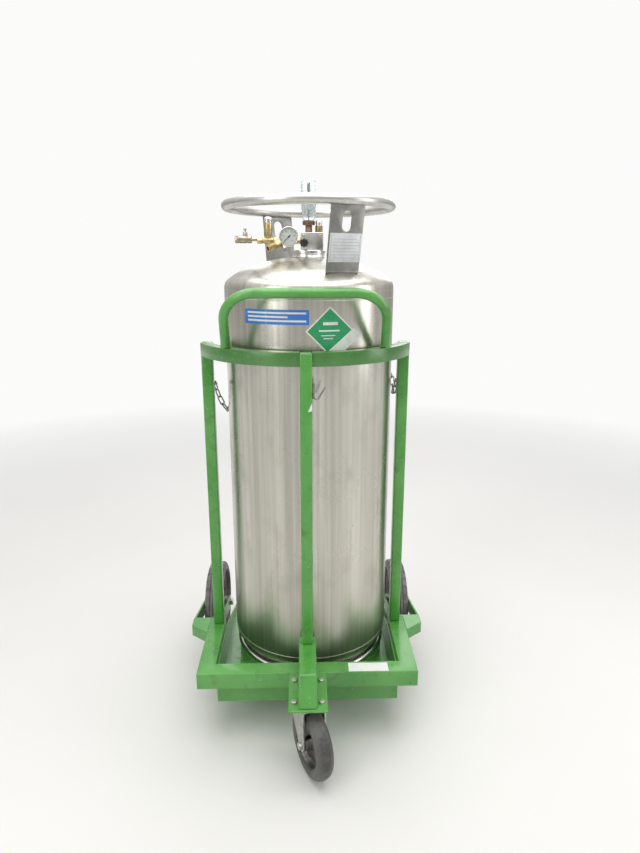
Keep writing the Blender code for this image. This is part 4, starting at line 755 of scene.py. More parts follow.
def makeBolt(number, top):
    # head, washer, shank and the nut below the caster's plate
    node = f"caster_bolt_{number}"
    name = f"casterBolt{number}"
    low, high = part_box(node)
    x, y = (low[0] + high[0]) / 2, (low[1] + high[1]) / 2
    r, tall = bolt["head"], bolt["headHeight"]
    head = sixSided(name, [(0, 0), (r, 0), (r, tall - 0.001), (r - 0.001, tall), (0, tall)],
                    (x, y, top + 0.0001), edge=0.0004, twist=bolt["turn"])
    hole, r, tall = bolt["hole"], bolt["washer"], bolt["washerThick"]
    washer = spun("washer", [(hole, 0), (r, 0), (r, tall), (hole, tall)], (x, y, top - 0.0002), steps=32)
    shank = bar("shank", (x, y, low[2]), (x, y, top + 0.002), bolt["shank"], 20)
    inside, r, tall = bolt["shank"] - 0.0002, bolt["nut"], bolt["nutHeight"]
    nut = sixSided("nut", [(inside, 0), (r, 0.0005), (r, tall - 0.0004), (inside, tall)],
                   (x, y, low[2] + bolt["nutRise"]), edge=0.0003)
    finish(joined(name, head, washer, shank, nut), root, "zinc", node)


def makeCasterMount():
    dress("caster_mount_plate", "green", 0.0011)
    dress("caster_top_plate", "zinc", 0.0010)
    for number in range(1, 5):
        makeBolt(number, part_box("caster_mount_plate")[1][2])


for name in ("left_wheel_bracket", "right_wheel_bracket"):
    dress(name, "green", 0.0014, 3)
dress("tray_pan", "green", 0.0012)
dress("caster_fork", "zinc", 0.0012, 3)
for name in ("caster_axle", "left_axle", "right_axle"):
    dress(name, "zinc", 0.0006)
makeBaseFrame()
makePosts()
makeBands()
makePushHandle()
makeTongue()
makeCasterMount()
print("cart welded up")


rearWheel = {"rim": 0.100, "hub": 0.026, "bore": 0.0086, "lip": 0.47, "look": "tread", "steps": 120,
             "yaw": 0.0, "lugged": True}
casterWheel = {"rim": 0.070, "hub": 0.022, "bore": 0.0066, "lip": 0.80, "look": "casterRubber", "steps": 96,
               "yaw": radians(24), "width": 0.050, "reach": 0.0299, "lugged": False}
wheels = {"left": rearWheel, "right": rearWheel, "caster": casterWheel}
tread = {"ribEdge": 0.0138, "crown": 0.0105, "lugEvery": 4, "lugWall": 0.0006, "lugDepth": 0.0026}
web = {"half": 0.18, "steps": 72, "window": 12, "open": 8, "wall": 0.0022}


def wheelFrame(key):
    spec = wheels[key]
    low, high = (Vector(c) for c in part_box(key + "_tyre"))
    axis = Vector((cos(spec["yaw"]), sin(spec["yaw"]), 0))
    width = spec.get("width", high.x - low.x)
    return spec, (low + high) / 2, axis, (high.z - low.z) / 2, width / 2


def bothSides(half):
    # the section's one half, then its mirror image, closed up again
    profile = half + [(r, -h) for r, h in reversed(half) if h]
    return [*profile, profile[0]]


def makeTyre(key):
    spec, centre, axis, radius, half = wheelFrame(key)
    rim = spec["rim"]
    side = radius - rim
    if spec["lugged"]:
        # a bead standing out from the deep rim, shoulders, then grooves and a rib round the crown
        sides = [(rim, 0.50), (rim + side * 0.34, 0.54), (rim + side * 0.40, 0.90),
                 (rim + side * 0.46, 0.99), (rim + side * 0.66, 0.985), (radius - 0.012, 0.93),
                 (radius - 0.0045, 0.82), (radius - 0.0014, 0.66)]
        crown = [(0.0008, 0.0135), (0.0040, 0.0128), (0.0040, 0.0100), (0.0004, 0.0093), (0, 0.0020),
                 (0.0040, 0.0014)]
    else:
        sides = [(rim, 0.84), (rim + side * 0.12, 0.93), (rim + side * 0.40, 0.99), (radius - 0.0150, 0.97),
                 (radius - 0.0100, 0.88), (radius - 0.0056, 0.72), (radius - 0.0024, 0.50),
                 (radius - 0.0006, 0.24)]
        crown = [(0, 0)]
    profile = [(r, -half * share) for r, share in sides] + [(radius - drop, -h) for drop, h in crown]
    part = spun(f"{key}Tyre", bothSides(profile), centre, axis, steps=spec["steps"])
    if spec["lugged"]:
        edit(part, "FACE")

        def lug(c, n):
            out, along, share = aboutAxis(c, centre, axis)
            return (out > radius - tread["crown"] and abs(along) > tread["ribEdge"]
                    and int(share * spec["steps"]) % tread["lugEvery"] == 0)
        choose(part, lug)
        bpy.ops.mesh.inset(thickness=tread["lugWall"], depth=-tread["lugDepth"])
        leave()
    finish(part, key + "_wheel", spec["look"], key + "_tyre", smooth=38)


def makeHub(key):
    spec, centre, axis, radius, half = wheelFrame(key)
    low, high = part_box(key + "_hub")
    seat, hub = spec["rim"] - 0.0003, spec["hub"]
    reach = spec.get("reach", (high[0] - low[0]) / 2)
    thin, lip = half * web["half"], half * spec["lip"]
    profile = [(spec["bore"], reach), (hub * 0.62, reach), (hub * 0.80, reach - 0.002),
               (hub * 0.86, lip * 0.7), (hub * 0.98, thin * 1.6), (hub * 1.15, thin), (seat * 0.50, thin),
               (seat * 0.72, thin), (seat * 0.86, thin), (seat * 0.905, thin * 1.8),
               (seat * 0.93, lip * 0.85), (seat * 0.955, lip), (seat, lip)]
    part = spun(f"{key}Hub", bothSides(profile), centre, axis, steps=web["steps"])
    edit(part, "FACE")

    def pocket(c, n):
        out, along, share = aboutAxis(c, centre, axis)
        return (seat * 0.52 < out < seat * 0.84 and abs(along) < thin * 1.2
                and int(share * web["steps"]) % web["window"] < web["open"])
    choose(part, pocket)
    bpy.ops.mesh.inset(thickness=web["wall"], depth=-web["wall"])
    leave()
    finish(rounded(part, 0.0006, 2, 35), key + "_wheel", "darkSteel", key + "_hub")


for key in wheels:
    makeTyre(key)
    makeHub(key)
print("wheels fitted")


chain = {"wire": 0.0044, "width": 0.0170, "pitch": 0.0275, "play": 0.0012, "shellGap": 0.0022,
         "eyeRadius": 0.0100, "eyeWire": 0.0056, "eyeGap": 0.0013, "leftShellZ": 0.956, "rightShellZ": 1.066,
         "leftAzimuth": 176, "rightAzimuth": 8, "turns": 15, "hang": (0.010, 0.024, -0.040), "dipZ": 1.012,
         "tilt": radians(9)}
chainEyes = {"leftChainEye": "left_chain_eye", "rightChainEye": "right_chain_eye"}


def smoothPath(points, perSpan):
    # a curve through every point, as a Catmull-Rom spline
    points = [Vector(p) for p in points]
    padded = [2 * points[0] - points[1], *points, 2 * points[-1] - points[-2]]
    path = []
    for a, b, c, d in zip(padded, padded[1:], padded[2:], padded[3:]):
        for i in range(perSpan):
            t = i / perSpan
            path.append(0.5 * (2 * b + (c - a) * t + (2 * a - 5 * b + 4 * c - d) * t ** 2
                               + (3 * b - a - 3 * c + d) * t ** 3))
    return [*path, points[-1]]


def evenSteps(path, count):
    # the path cut into equal lengths: each one's middle and its step
    lengths = [0.0]
    for a, b in zip(path, path[1:]):
        lengths.append(lengths[-1] + (b - a).length)

    def at(distance):
        for i, total in enumerate(lengths[1:]):
            if distance <= total or i == len(lengths) - 2:
                return path[i].lerp(path[i + 1], (distance - lengths[i]) / (total - lengths[i]))
    spots = [at(lengths[-1] / count * i) for i in range(count + 1)]
    return [((a + b) / 2, (b - a)) for a, b in zip(spots, spots[1:])]


def eyeCentre(node):
    low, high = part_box(node)
    return (Vector(low) + Vector(high)) / 2


def chainPath():
    left, right = (eyeCentre(node) for node in chainEyes.values())
    around = dewar["shellRadius"] + chain["width"] / 2 + chain["shellGap"]
    behind = []
    for i in range(chain["turns"]):
        share = i / (chain["turns"] - 1)
        azimuth = radians(chain["leftAzimuth"] + (chain["rightAzimuth"] - chain["leftAzimuth"]) * share)
        behind.append((dewar["x"] + around * cos(azimuth), dewar["y"] + around * sin(azimuth),
                       chain["leftShellZ"] + (chain["rightShellZ"] - chain["leftShellZ"]) * share))
    hang = left + Vector(chain["hang"])
    dip = Vector((dewar["x"] + around + 0.002, dewar["y"] + 0.002, chain["dipZ"]))

    def seat(eye, towards):
        pull = (towards - eye).normalized()
        level = Vector((pull.x, pull.y, 0)).normalized()
        return eye + level * chain["eyeRadius"] - pull * (chain["eyeWire"] / 2 + chain["eyeGap"])
    start, end = seat(left, hang), seat(right, dip)
    return smoothPath([start, start.lerp(hang, 0.5), hang, *behind, dip, end.lerp(dip, 0.5), end], 6)


def makeLink(inner):
    # a torus pulled out to an oval
    rounding = (chain["width"] - chain["wire"]) / 2
    link = hoop("chainLink", (0, 0, 0), rounding, chain["wire"] / 2, 20, 10, (0, 0, chain["tilt"]))
    stretch = (inner + chain["wire"]) / 2 - rounding
    for side in (-1, 1):
        edit(link)
        choose(link, lambda c: c.x * side > 0.00001, "verts")
        bpy.ops.transform.translate(value=(side * stretch, 0, 0))
        leave()
    return link


def makeChain():
    # an odd number of links, as near the pitch as the path allows, each turned across its neighbours
    path = chainPath()
    length = sum((b - a).length for a, b in zip(path, path[1:]))
    count = 2 * round((length / chain["pitch"] - 1) / 2) + 1
    pattern = makeLink(length / count - chain["play"])
    links = []
    for number, (centre, step) in enumerate(evenSteps(path, count)):
        along = step.normalized()
        flat = Vector((0, 0, 1)).cross(along).normalized()
        across = flat if number % 2 == 1 else along.cross(flat).normalized()
        turn = Matrix((along, across, along.cross(across))).transposed().to_4x4()
        links.append(turnedCopy(pattern, f"link{number}", Matrix.Translation(centre) @ turn))
    bpy.data.objects.remove(pattern)
    finish(joined("restraintChain", *links), root, "chain", "restraint_chain", smooth=60)


def makeChainEyes():
    for name, node in chainEyes.items():
        eye = hoop(name, eyeCentre(node), chain["eyeRadius"], chain["eyeWire"] / 2, 40, 12)
        spot = eyeCentre(node) - Vector((0, chain["eyeRadius"] + 0.0026, 0))
        bead = block("weld", spot - Vector((0.006, 0.0004, 0.0024)), spot + Vector((0.006, 0.0016, 0.0024)),
                     0.0009, 2)
        finish(joined(name, eye, bead), root, "chain", node, smooth=60)


hook = {"wire": 0.0025, "reach": 0.031, "drop": 0.033, "tab": (0.007, 0.005, 0.042), "bend": 0.28,
        "rodFoot": 0.4, "sweep": radians(122), "edge": 0.0009}


def makeHook():
    low, high = (Vector(c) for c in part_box("post_hook"))
    width, depth, height = hook["tab"]
    foot, y, wire = high.z - height, high.y - depth / 2, hook["wire"]
    tab = block("hookTab", (low.x, y - depth / 2, foot), (low.x + width, y + depth / 2, high.z), hook["edge"])
    bend = hook["reach"] * hook["bend"]
    x, front = low.x + width / 2, y - depth / 2
    rise = height * hook["rodFoot"]
    middle = Vector((x + bend, front, foot + bend))
    rod = bentTube("hookRod", (x, front, foot + rise), wire, [
        ("go", Vector((0, 0, bend - rise))), ("bend", middle, (0, -1, 0), hook["sweep"], 12)], 16)
    past = hook["sweep"] - pi / 2
    tip = middle + bend * Vector((sin(past), 0, -cos(past)))
    arm = bar("hookArm", tip, (x + hook["reach"], front, foot + hook["drop"]), wire, 16, hook["edge"])
    finish(joined("postHook", tab, rod, arm), root, "chain", "post_hook", smooth=50)


makeChain()
makeChainEyes()
makeHook()
print("chain hung")


shell = {"bottom": 0.152, "lowWeld": 0.229, "topWeld": 1.313, "seam": radians(-118), "steps": 160,
         "neck": 0.049, "bore": 0.026}
# the shell's outline from the middle of its foot outwards: share of the radius, rise over the bottom
shellFoot = [(0, 0), (0.40, 0.004), (0.70, 0.014), (0.86, 0.026), (0.935, 0.038), (0.978, 0.052),
             (0.9965, 0.062), (1, 0.072)]
# and from the shoulder inwards over the lid: step in from the radius, rise over the shoulder
shellLid = [(0.0006, 0.006), (0.0020, 0.012), (0.0048, 0.0182), (0.0100, 0.0238), (0.0190, 0.0312),
            (0.0330, 0.0405), (0.0500, 0.0498), (0.0711, 0.0588), (0.0980, 0.0684), (0.1270, 0.0768),
            (0.1560, 0.0828), (0.1829, 0.0862)]
# weld beads round the shell: height and half thickness
shellBeads = [(shell["lowWeld"], 0.0013), (shell["topWeld"], 0.0011), (dewar["shoulder"] - 0.003, 0.0007)]


def makeShell():
    r, shoulder, top = dewar["shellRadius"], dewar["shoulder"], dewar["top"]
    profile = [(r * share, shell["bottom"] + rise) for share, rise in shellFoot]
    profile += [(r, shell["topWeld"] - 0.02), (r, shoulder)]
    profile += [(r - step, shoulder + rise) for step, rise in shellLid]
    profile += [(shell["neck"], top), (shell["bore"], top), (shell["bore"], top - 0.004)]
    body = spun("outerShell", profile, axisPoint, steps=shell["steps"])
    beads = [hoop("weldBead", (dewar["x"], dewar["y"], z), r - 0.0004, wire, shell["steps"], 8)
             for z, wire in shellBeads]
    out = axisPoint + Vector((cos(shell["seam"]), sin(shell["seam"]), 0)) * (r - 0.0009)
    ends = [out + Vector((0, 0, shell[end])) for end in ("lowWeld", "topWeld")]
    beads.append(bar("longSeam", *ends, 0.0014, 10, 0.0002))
    finish(joined("outerShell", body, *beads), root, "shell", "outer_vessel", smooth=30)


footRing = {"radius": 0.2445, "sheet": 0.003, "bead": 0.0122, "beadZ": 0.1680, "beadOut": 0.0045,
            "from": -44, "to": 125, "by": 12, "lipZ": 0.1787, "lip": (0.0205, 0.0235)}


def makeFootRing():
    # an upright sheet with a rolled bead under the shell
    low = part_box("foot_ring")[0][2]
    r, bulge, level = footRing["radius"], footRing["bead"], footRing["beadZ"]
    middle, inside = r - bulge + footRing["beadOut"], r - footRing["sheet"]
    angles = [radians(d) for d in range(footRing["from"], footRing["to"], footRing["by"])]
    curl = [(middle + bulge * cos(a), level + bulge * sin(a)) for a in angles]
    lip = [(r - step, footRing["lipZ"]) for step in footRing["lip"]]
    profile = [(r, low), (r, level - bulge - 0.004), *curl, *lip, (middle - bulge + 0.002, level),
               (inside, level - bulge - 0.006), (inside, low), (r, low)]
    finish(spun("footRing", profile, axisPoint, steps=shell["steps"]), root, "bright", "foot_ring")


ring = {"radius": 0.240, "tube": 0.014, "z": 1.569, "azimuth": radians(25), "plate": 0.006,
        "width": 0.100, "foot": (0.2085, 1.3855), "slotCentre": 1.5155, "slotWidth": 0.028,
        "slotLength": 0.052, "weldTurn": radians(64), "weld": 0.0012, "gap": 0.0003}
ring["head"] = ring["z"] - ring["tube"] - ring["gap"]
ring["lean"] = (ring["radius"] - ring["foot"][0]) / (ring["head"] - ring["foot"][1])


def makeHandlingRing():
    tube = hoop("handlingRing", (dewar["x"], dewar["y"], ring["z"]), ring["radius"], ring["tube"], 160, 28)
    azimuth = ring["azimuth"] + ring["weldTurn"]
    spot = axisPoint + Vector((cos(azimuth), sin(azimuth), 0)) * ring["radius"] + Vector((0, 0, ring["z"]))
    weld = hoop("ringWeld", spot, ring["tube"] - 0.0002, ring["weld"], 36, 8,
                aim((-sin(azimuth), cos(azimuth), 0)).to_euler())
    finish(joined("handlingRing", tube, weld), root, "tube", "handling_ring", smooth=50)


def leanOut(z):
    # how far in front of the axis the middle of a bracket's plate stands at a height
    return ring["foot"][0] + ring["lean"] * (z - ring["foot"][1])


def bracketBlank(name):
    # a bracket as drawn facing -Y, leaning out to the ring, with its slot cut through
    half = ring["plate"] / 2
    (footR, footZ), headR, headZ = ring["foot"], ring["radius"], ring["head"]
    outline = [(-footR - half, footZ), (-footR + half, footZ), (-headR + half, headZ), (-headR - half, headZ)]
    part = plate(name, outline, "X", -ring["width"] / 2, ring["width"] / 2)
    rounding, level = ring["slotWidth"] / 2, ring["slotCentre"]
    straight = ring["slotLength"] / 2 - rounding
    slot = [(rounding * cos(pi * i / 16), level + straight + rounding * sin(pi * i / 16)) for i in range(17)]
    slot += [(-x, 2 * level - z) for x, z in slot]
    middle = -leanOut(level)
    return rounded(cut(part, plate("slotCutter", slot, "Y", middle - 0.03, middle + 0.03)), 0.0009, 3)


def makeBrackets():
    footR, footZ = ring["foot"]
    # each weld: its half length, how far out, how high and how thick it is
    welds = {"footWeld": (0.049, footR, footZ + 0.0012, 0.0040),
             "headWeld": (0.046, ring["radius"], ring["z"] - ring["tube"] - 0.0012, 0.0032)}
    for name, node, yaw in (("frontBracket", "front_ring_bracket", ring["azimuth"]),
                            ("rearBracket", "rear_ring_bracket", ring["azimuth"] + pi)):
        part = joined(name, bracketBlank(name), *[
            bar(weld, (-half, -out, z), (half, -out, z), thick, 12)
            for weld, (half, out, z, thick) in welds.items()])
        part.data.transform(Matrix.Translation(axisPoint) @ Matrix.Rotation(yaw, 4, "Z"))
        finish(part, root, "bracket", node)


dataPlate = {"halfWidth": 0.048, "height": 0.074, "gap": 0.004, "sheet": 0.0012, "print": (0.0011, 0.00135),
             "lines": 7, "firstLine": 0.0105, "linePitch": 0.008, "line": 0.0009, "reach": 0.040,
             "shortReach": 0.033, "borders": (-0.044, 0.0432), "border": 0.0008, "margin": 0.004,
             "screwZ": 0.005}


def makeDataPlate():
    # bare sheet with ruled lines, a border and one small screw
    top = ring["slotCentre"] - ring["slotLength"] / 2 - dataPlate["gap"]
    bottom = top - dataPlate["height"]

    def face(z, out):
        return -leanOut(z) - ring["plate"] / 2 - ring["gap"] - out

    def slab(name, x0, x1, z0, z1, low, high):
        outline = [(face(z0, low), z0), (face(z1, low), z1), (face(z1, high), z1), (face(z0, high), z0)]
        return plate(name, outline, "X", x0, x1)
    side = dataPlate["halfWidth"]
    sheet = rounded(slab("dataPlate", -side, side, bottom, top, 0, dataPlate["sheet"]), 0.0004, 2)
    lines = []
    for i in range(dataPlate["lines"]):
        reach = dataPlate["reach"] if i % 3 else dataPlate["shortReach"]
        z = bottom + dataPlate["firstLine"] + dataPlate["linePitch"] * i
        lines.append(slab("ruledLine", -reach, reach, z, z + dataPlate["line"], *dataPlate["print"]))
    for x in dataPlate["borders"]:
        lines.append(slab("ruledLine", x, x + dataPlate["border"], bottom + dataPlate["margin"],
                          top - dataPlate["margin"], *dataPlate["print"]))
    ruled = joined("dataPlateLines", *lines)
    screwZ = bottom + dataPlate["screwZ"]
    spot = Vector((0, face(screwZ, dataPlate["print"][0]), screwZ))
    screw = spun("dataPlateScrew", [(0, 0.0012), (0.0012, 0.0012), (0.0021, 0.0007), (0.0024, 0), (0, 0)],
                 spot, Vector((0, -1, ring["lean"])).normalized(), 24)
    place = Matrix.Translation(axisPoint) @ Matrix.Rotation(ring["azimuth"], 4, "Z")
    for part, look, hides in ((sheet, "plate", ("data_plate",)), (ruled, "rule", ()), (screw, "zinc", ())):
        part.data.transform(place)
        finish(part, root, look, *hides)


makeShell()
makeFootRing()
makeHandlingRing()
makeBrackets()
makeDataPlate()
print("vessel rolled and welded")


flange = {"radius": 0.049, "bore": 0.0225, "seat": 0.034, "joint": (0.0085, 0.0113), "groove": 0.0011}


def makeFlange():
    # two plates with a thin joint between them, and the weld to the lid
    low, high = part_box("neck_flange")
    z, top, r, bore = low[2], high[2], flange["radius"], flange["bore"]
    seat, groove, (under, over) = flange["seat"], flange["groove"], flange["joint"]
    body = spun("neckFlange", [
        (bore, z), (r - 0.001, z), (r, z + 0.001), (r, z + under), (r - groove, z + under + 0.0008),
        (r - groove, z + over - 0.0008), (r, z + over), (r, top - 0.0015), (r - 0.0015, top), (seat, top),
        (seat - 0.001, top - 0.001), (bore, top - 0.001), (bore, z)], axisPoint, steps=96, edge=0.0004)
    weld = spun("flangeWeld", [(r - 0.002, z + 0.0045), (r + 0.0002, z + 0.0042), (r + 0.0034, z + 0.0008),
                               (r + 0.0036, z), (r - 0.002, z)], axisPoint, steps=96)
    finish(joined("neckFlange", body, weld), root, "bright", "neck_flange")


manifold = {"edge": 0.0016, "plugIn": 0.009, "plugDown": 0.010, "plugBore": 0.0022, "plug": 0.0046,
            "stud": 0.0032, "studZ": 0.016, "sink": 0.0004}


def makeManifold():
    low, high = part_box("manifold_block")
    pieces = [block("manifoldBlock", low, high, manifold["edge"], 3)]
    bore, plug, sink = manifold["plugBore"], manifold["plug"], manifold["sink"]
    plugShape = [(bore, -sink), (plug, -sink), (plug, 0.0022), (plug - 0.0006, 0.0028), (bore, 0.0028),
                 (bore, -sink)]
    for x in (low[0] + manifold["plugIn"], high[0] - manifold["plugIn"]):
        pieces.append(sixSided("blockPlug", plugShape, (x, low[1] - sink, high[2] - manifold["plugDown"]),
                               (0, -1, 0), 0.0003))
    stud = manifold["stud"]
    pieces.append(spun("blockStud", [(0, 0), (stud, 0), (stud, 0.0018), (stud - 0.0008, 0.0025), (0, 0.0025)],
                       (high[0] - sink, (low[1] + high[1]) / 2, low[2] + manifold["studZ"]), (1, 0, 0), 32))
    finish(joined("manifoldBlock", *pieces), root, "bright", "manifold_block")


sight = {"flat": 0.016, "stem": 0.0105, "rodBore": 0.0025, "nut": 0.013, "threads": 9, "pitch": 0.0016,
         "threadDepth": 0.0007, "radius": 0.0220, "wall": 0.0026, "band": (1.5575, 1.5815),
         "marks": 9, "firstMark": 1.588, "markPitch": 0.0055, "mark": 0.0011, "longMark": 0.0016}


def makeContentsGauge():
    low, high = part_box("contents_gauge_base")
    foot, hexTop, r, bore = low[2], high[2], sight["stem"], sight["rodBore"]
    hexFoot = hexTop - sight["nut"]
    thread = [(r - sight["threadDepth"] * (i % 2), foot + 0.004 + sight["pitch"] * i)
              for i in range(1, sight["threads"] + 1)]
    stem = spun("gaugeStem", [(bore, foot), (r, foot), (r, foot + 0.004), *thread,
                              (r - 0.001, hexFoot + 0.001), (bore, hexFoot + 0.001)], axisPoint, steps=48)
    flat = sight["flat"]
    nut = sixSided("gaugeHexagon", [(bore, hexFoot), (flat - 0.0012, hexFoot), (flat, hexFoot + 0.0012),
                                    (flat, hexTop - 0.0014), (flat - 0.0014, hexTop), (bore, hexTop)],
                   axisPoint)
    finish(joined("contentsGaugeBase", stem, nut), root, "bronze", "contents_gauge_base")


def makeSightTube():
    # a clear cap, closed at the top, with a pale band and fine marks inside its wall
    low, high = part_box("sight_tube")
    z, top, r, wall = low[2], high[2], sight["radius"], sight["wall"]
    seat, inner = sight["flat"] - 0.001, r - wall
    outside = [(seat, z), (seat + 0.0008, z + 0.002), (r - 0.0022, z + 0.0085), (r - 0.0004, z + 0.0115),
               (r, z + 0.014), (r, top - 0.0085), (r - 0.0012, top - 0.0042), (r - 0.0042, top - 0.0012),
               (r - 0.0085, top), (0, top)]
    inside = [(0, top - wall), (r - 0.009, top - wall), (inner - 0.0018, top - wall - 0.003),
              (inner, top - 0.009), (inner, z + 0.0125), (seat - wall, z + 0.001), (seat - wall, z)]
    finish(spun("sightTube", outside + inside + [outside[0]], axisPoint), root, "clear", "sight_tube")
    under, over = sight["band"]
    band = [(inner - 0.0003, under), (inner - 0.0003, over), (inner - 0.0013, over + 0.001),
            (inner - 0.0020, over), (inner - 0.0020, under), (inner - 0.0003, under)]
    finish(spun("sightScaleBand", band, axisPoint), root, "plate")
    marks = []
    for number in range(sight["marks"]):
        under = sight["firstMark"] + number * sight["markPitch"]
        over = under + (sight["mark"] if number % 4 else sight["longMark"]) / 2
        face, back = inner - 0.0005, inner - 0.0009
        band = [(face, under), (face, over), (back, over), (back, under), (face, under)]
        marks.append(spun("scaleMark", band, axisPoint))
    finish(joined("sightScaleMarks", *marks), root, "ink")


indicator = {"floatLength": 0.380, "float": 0.0066, "rod": 0.0019, "tip": 0.0054, "tipLength": 0.027}


def makeFloat():
    low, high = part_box("float_indicator")
    top, foot, rod, tip, r = high[2], low[2], indicator["rod"], indicator["tip"], indicator["float"]
    floatTop, tipFoot = foot + indicator["floatLength"], top - indicator["tipLength"]
    profile = [(0, foot), (0.0030, foot + 0.0006), (0.0056, foot + 0.0045), (r, foot + 0.010),
               (r, floatTop - 0.010), (0.0056, floatTop - 0.0045), (0.0033, floatTop - 0.0005),
               (rod, floatTop), (rod, tipFoot), (0.0038, tipFoot + 0.0005), (tip, tipFoot + 0.0025),
               (tip, top - 0.0040), (0.0046, top - 0.0015), (0.0028, top - 0.0003), (0, top)]
    finish(spun("floatIndicator", profile, axisPoint, steps=40), "contents_float", "darkSteel",
           "float_indicator")


reliefLine = {"y": -0.020, "z": 1.4735, "r": 0.0095, "valveX": -0.107, "gaugeBoss": (-0.0530, -0.0370),
              "outletX": -0.061, "outletReach": (-0.046, -0.036, -0.024), "outletRadius": 0.0100,
              "threads": 11, "drainFrom": -0.064, "drainReach": (0.006, -0.031, -0.027),
              "drainRadius": 0.0062}


def outlet(spot):
    # the liquid outlet: neck, nut, threaded flare and its bore
    reach, q = Vector(reliefLine["outletReach"]), reliefLine["outletRadius"]
    length, way, turns = reach.length, reach.normalized(), reliefLine["threads"]
    neck = bar("outletNeck", spot, spot + way * length * 0.32, q * 0.75, 32)
    nut = sixSided("outletHexagon", nutProfile(q * 1.12, q * 1.02, 0, length * 0.33, 0.001, length * 0.02),
                   spot + way * length * 0.27, way)
    thread = [(q * 0.62, length * 0.99), (q * 0.90, length * 0.99), (q * 0.97, length * 0.975)]
    for i in range(turns):
        share = 0.96 - 0.34 * i / turns
        thread += [(q * 0.97, length * share), (q * 0.90, length * (share - 0.17 / turns))]
    thread += [(q * 0.9, length * 0.58), (0, length * 0.58), (0, length * 0.70), (q * 0.58, length * 0.70),
               (q * 0.62, length * 0.99)]
    flare = [(q * 0.40, length * 0.72), (q * 0.58, length * 0.72), (q * 0.58, length * 0.90),
             (q * 0.40, length * 0.86), (q * 0.40, length * 0.72)]
    return [neck, nut, spun("outletThread", thread, spot, way, 48), spun("outletFlare", flare, spot, way, 40)]


def makeReliefLine():
    low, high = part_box("relief_line")
    y, z, r = dewar["y"] + reliefLine["y"], reliefLine["z"], reliefLine["r"]
    valve = reliefLine["valveX"]

    def pipe(name, x0, x1, radius):
        return bar(name, (x0, y, z), (x1, y, z), radius, 40, 0.0007)

    def nut(name, x0, x1, flat):
        return sixSided(name, nutProfile(flat, flat - 0.0012, 0, x1 - x0), (x0, y, z), (1, 0, 0), 0.0005)
    pieces = [nut("lineEndNut", low[0] + 0.0002, low[0] + 0.016, r * 0.93),
              pipe("lineLeft", low[0] + 0.014, valve + 0.018, r * 0.8),
              pipe("teeBody", valve - 0.0125, valve + 0.0125, r * 0.98),
              nut("teeNut", valve + 0.016, valve + 0.032, r * 1.04),
              pipe("lineRight", valve + 0.030, high[0] - 0.013, r * 0.7),
              pipe("gaugeBoss", *reliefLine["gaugeBoss"], r * 0.98),
              nut("blockNut", high[0] - 0.0135, high[0], r * 1.03),
              *outlet(Vector((reliefLine["outletX"], y, z)))]
    spot = Vector((reliefLine["drainFrom"], y, z))
    reach, q = Vector(reliefLine["drainReach"]), reliefLine["drainRadius"]
    length, way = reach.length, reach.normalized()
    pieces.append(bar("drainLeg", spot, spot + way * length * 0.70, q, 28))
    drainNut = nutProfile(q * 1.18, q * 1.10, 0, length * 0.24, 0.0008, length * 0.02)
    pieces.append(sixSided("drainNut", drainNut, spot + way * length * 0.40, way, 0.0005))
    finish(joined("reliefLine", *pieces), root, "brass", "relief_line")
    plug = sixSided("drainPlug", [(0, 0), (q * 0.92, 0), (q, 0.0008), (q, length * 0.26),
                                  (q * 0.86, length * 0.31), (0, length * 0.31)],
                    spot + way * length * 0.68, way, 0.0005)
    finish(plug, root, "zinc")


def makeReliefValve():
    low, high = (Vector(c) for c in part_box("relief_valve"))
    spot = ((low.x + high.x) / 2, (low.y + high.y) / 2, 0)
    top, foot, r = high.z, low.z, (high.x - low.x) / 2
    neck = spun("reliefNeck", [(0, foot), (r * 0.55, foot), (r * 0.55, foot + 0.005), (0, foot + 0.005)],
                spot, steps=32)
    flat = r * 0.85
    nut = sixSided("reliefHexagon", nutProfile(flat, flat * 0.92, foot + 0.0040, foot + 0.0180), spot,
                   twist=radians(10))
    drum = spun("reliefDrum", [(0, foot + 0.017), (r * 0.86, foot + 0.017), (r * 0.93, foot + 0.0185),
                               (r * 0.93, top - 0.0185), (r * 0.86, top - 0.0165), (0, top - 0.0165)],
                spot, steps=48)
    finish(joined("reliefValve", neck, nut, drum), root, "brass", "relief_valve")
    c = r * 0.94
    cap = spun("reliefCap", [(0, top - 0.0168), (c, top - 0.0168), (c, top - 0.0124),
                             (c * 0.72, top - 0.0120), (c * 0.72, top - 0.0096), (c, top - 0.0092),
                             (c, top - 0.0062), (c * 0.93, top - 0.0034), (c * 0.74, top - 0.0010),
                             (c * 0.45, top), (c * 0.40, top - 0.0012), (0, top - 0.0014)], spot, steps=48)
    finish(cap, root, "bright")


coupling = {"radius": 0.011, "nipple": 0.0049, "nippleLength": 0.016, "bleedFrom": 0.03392}


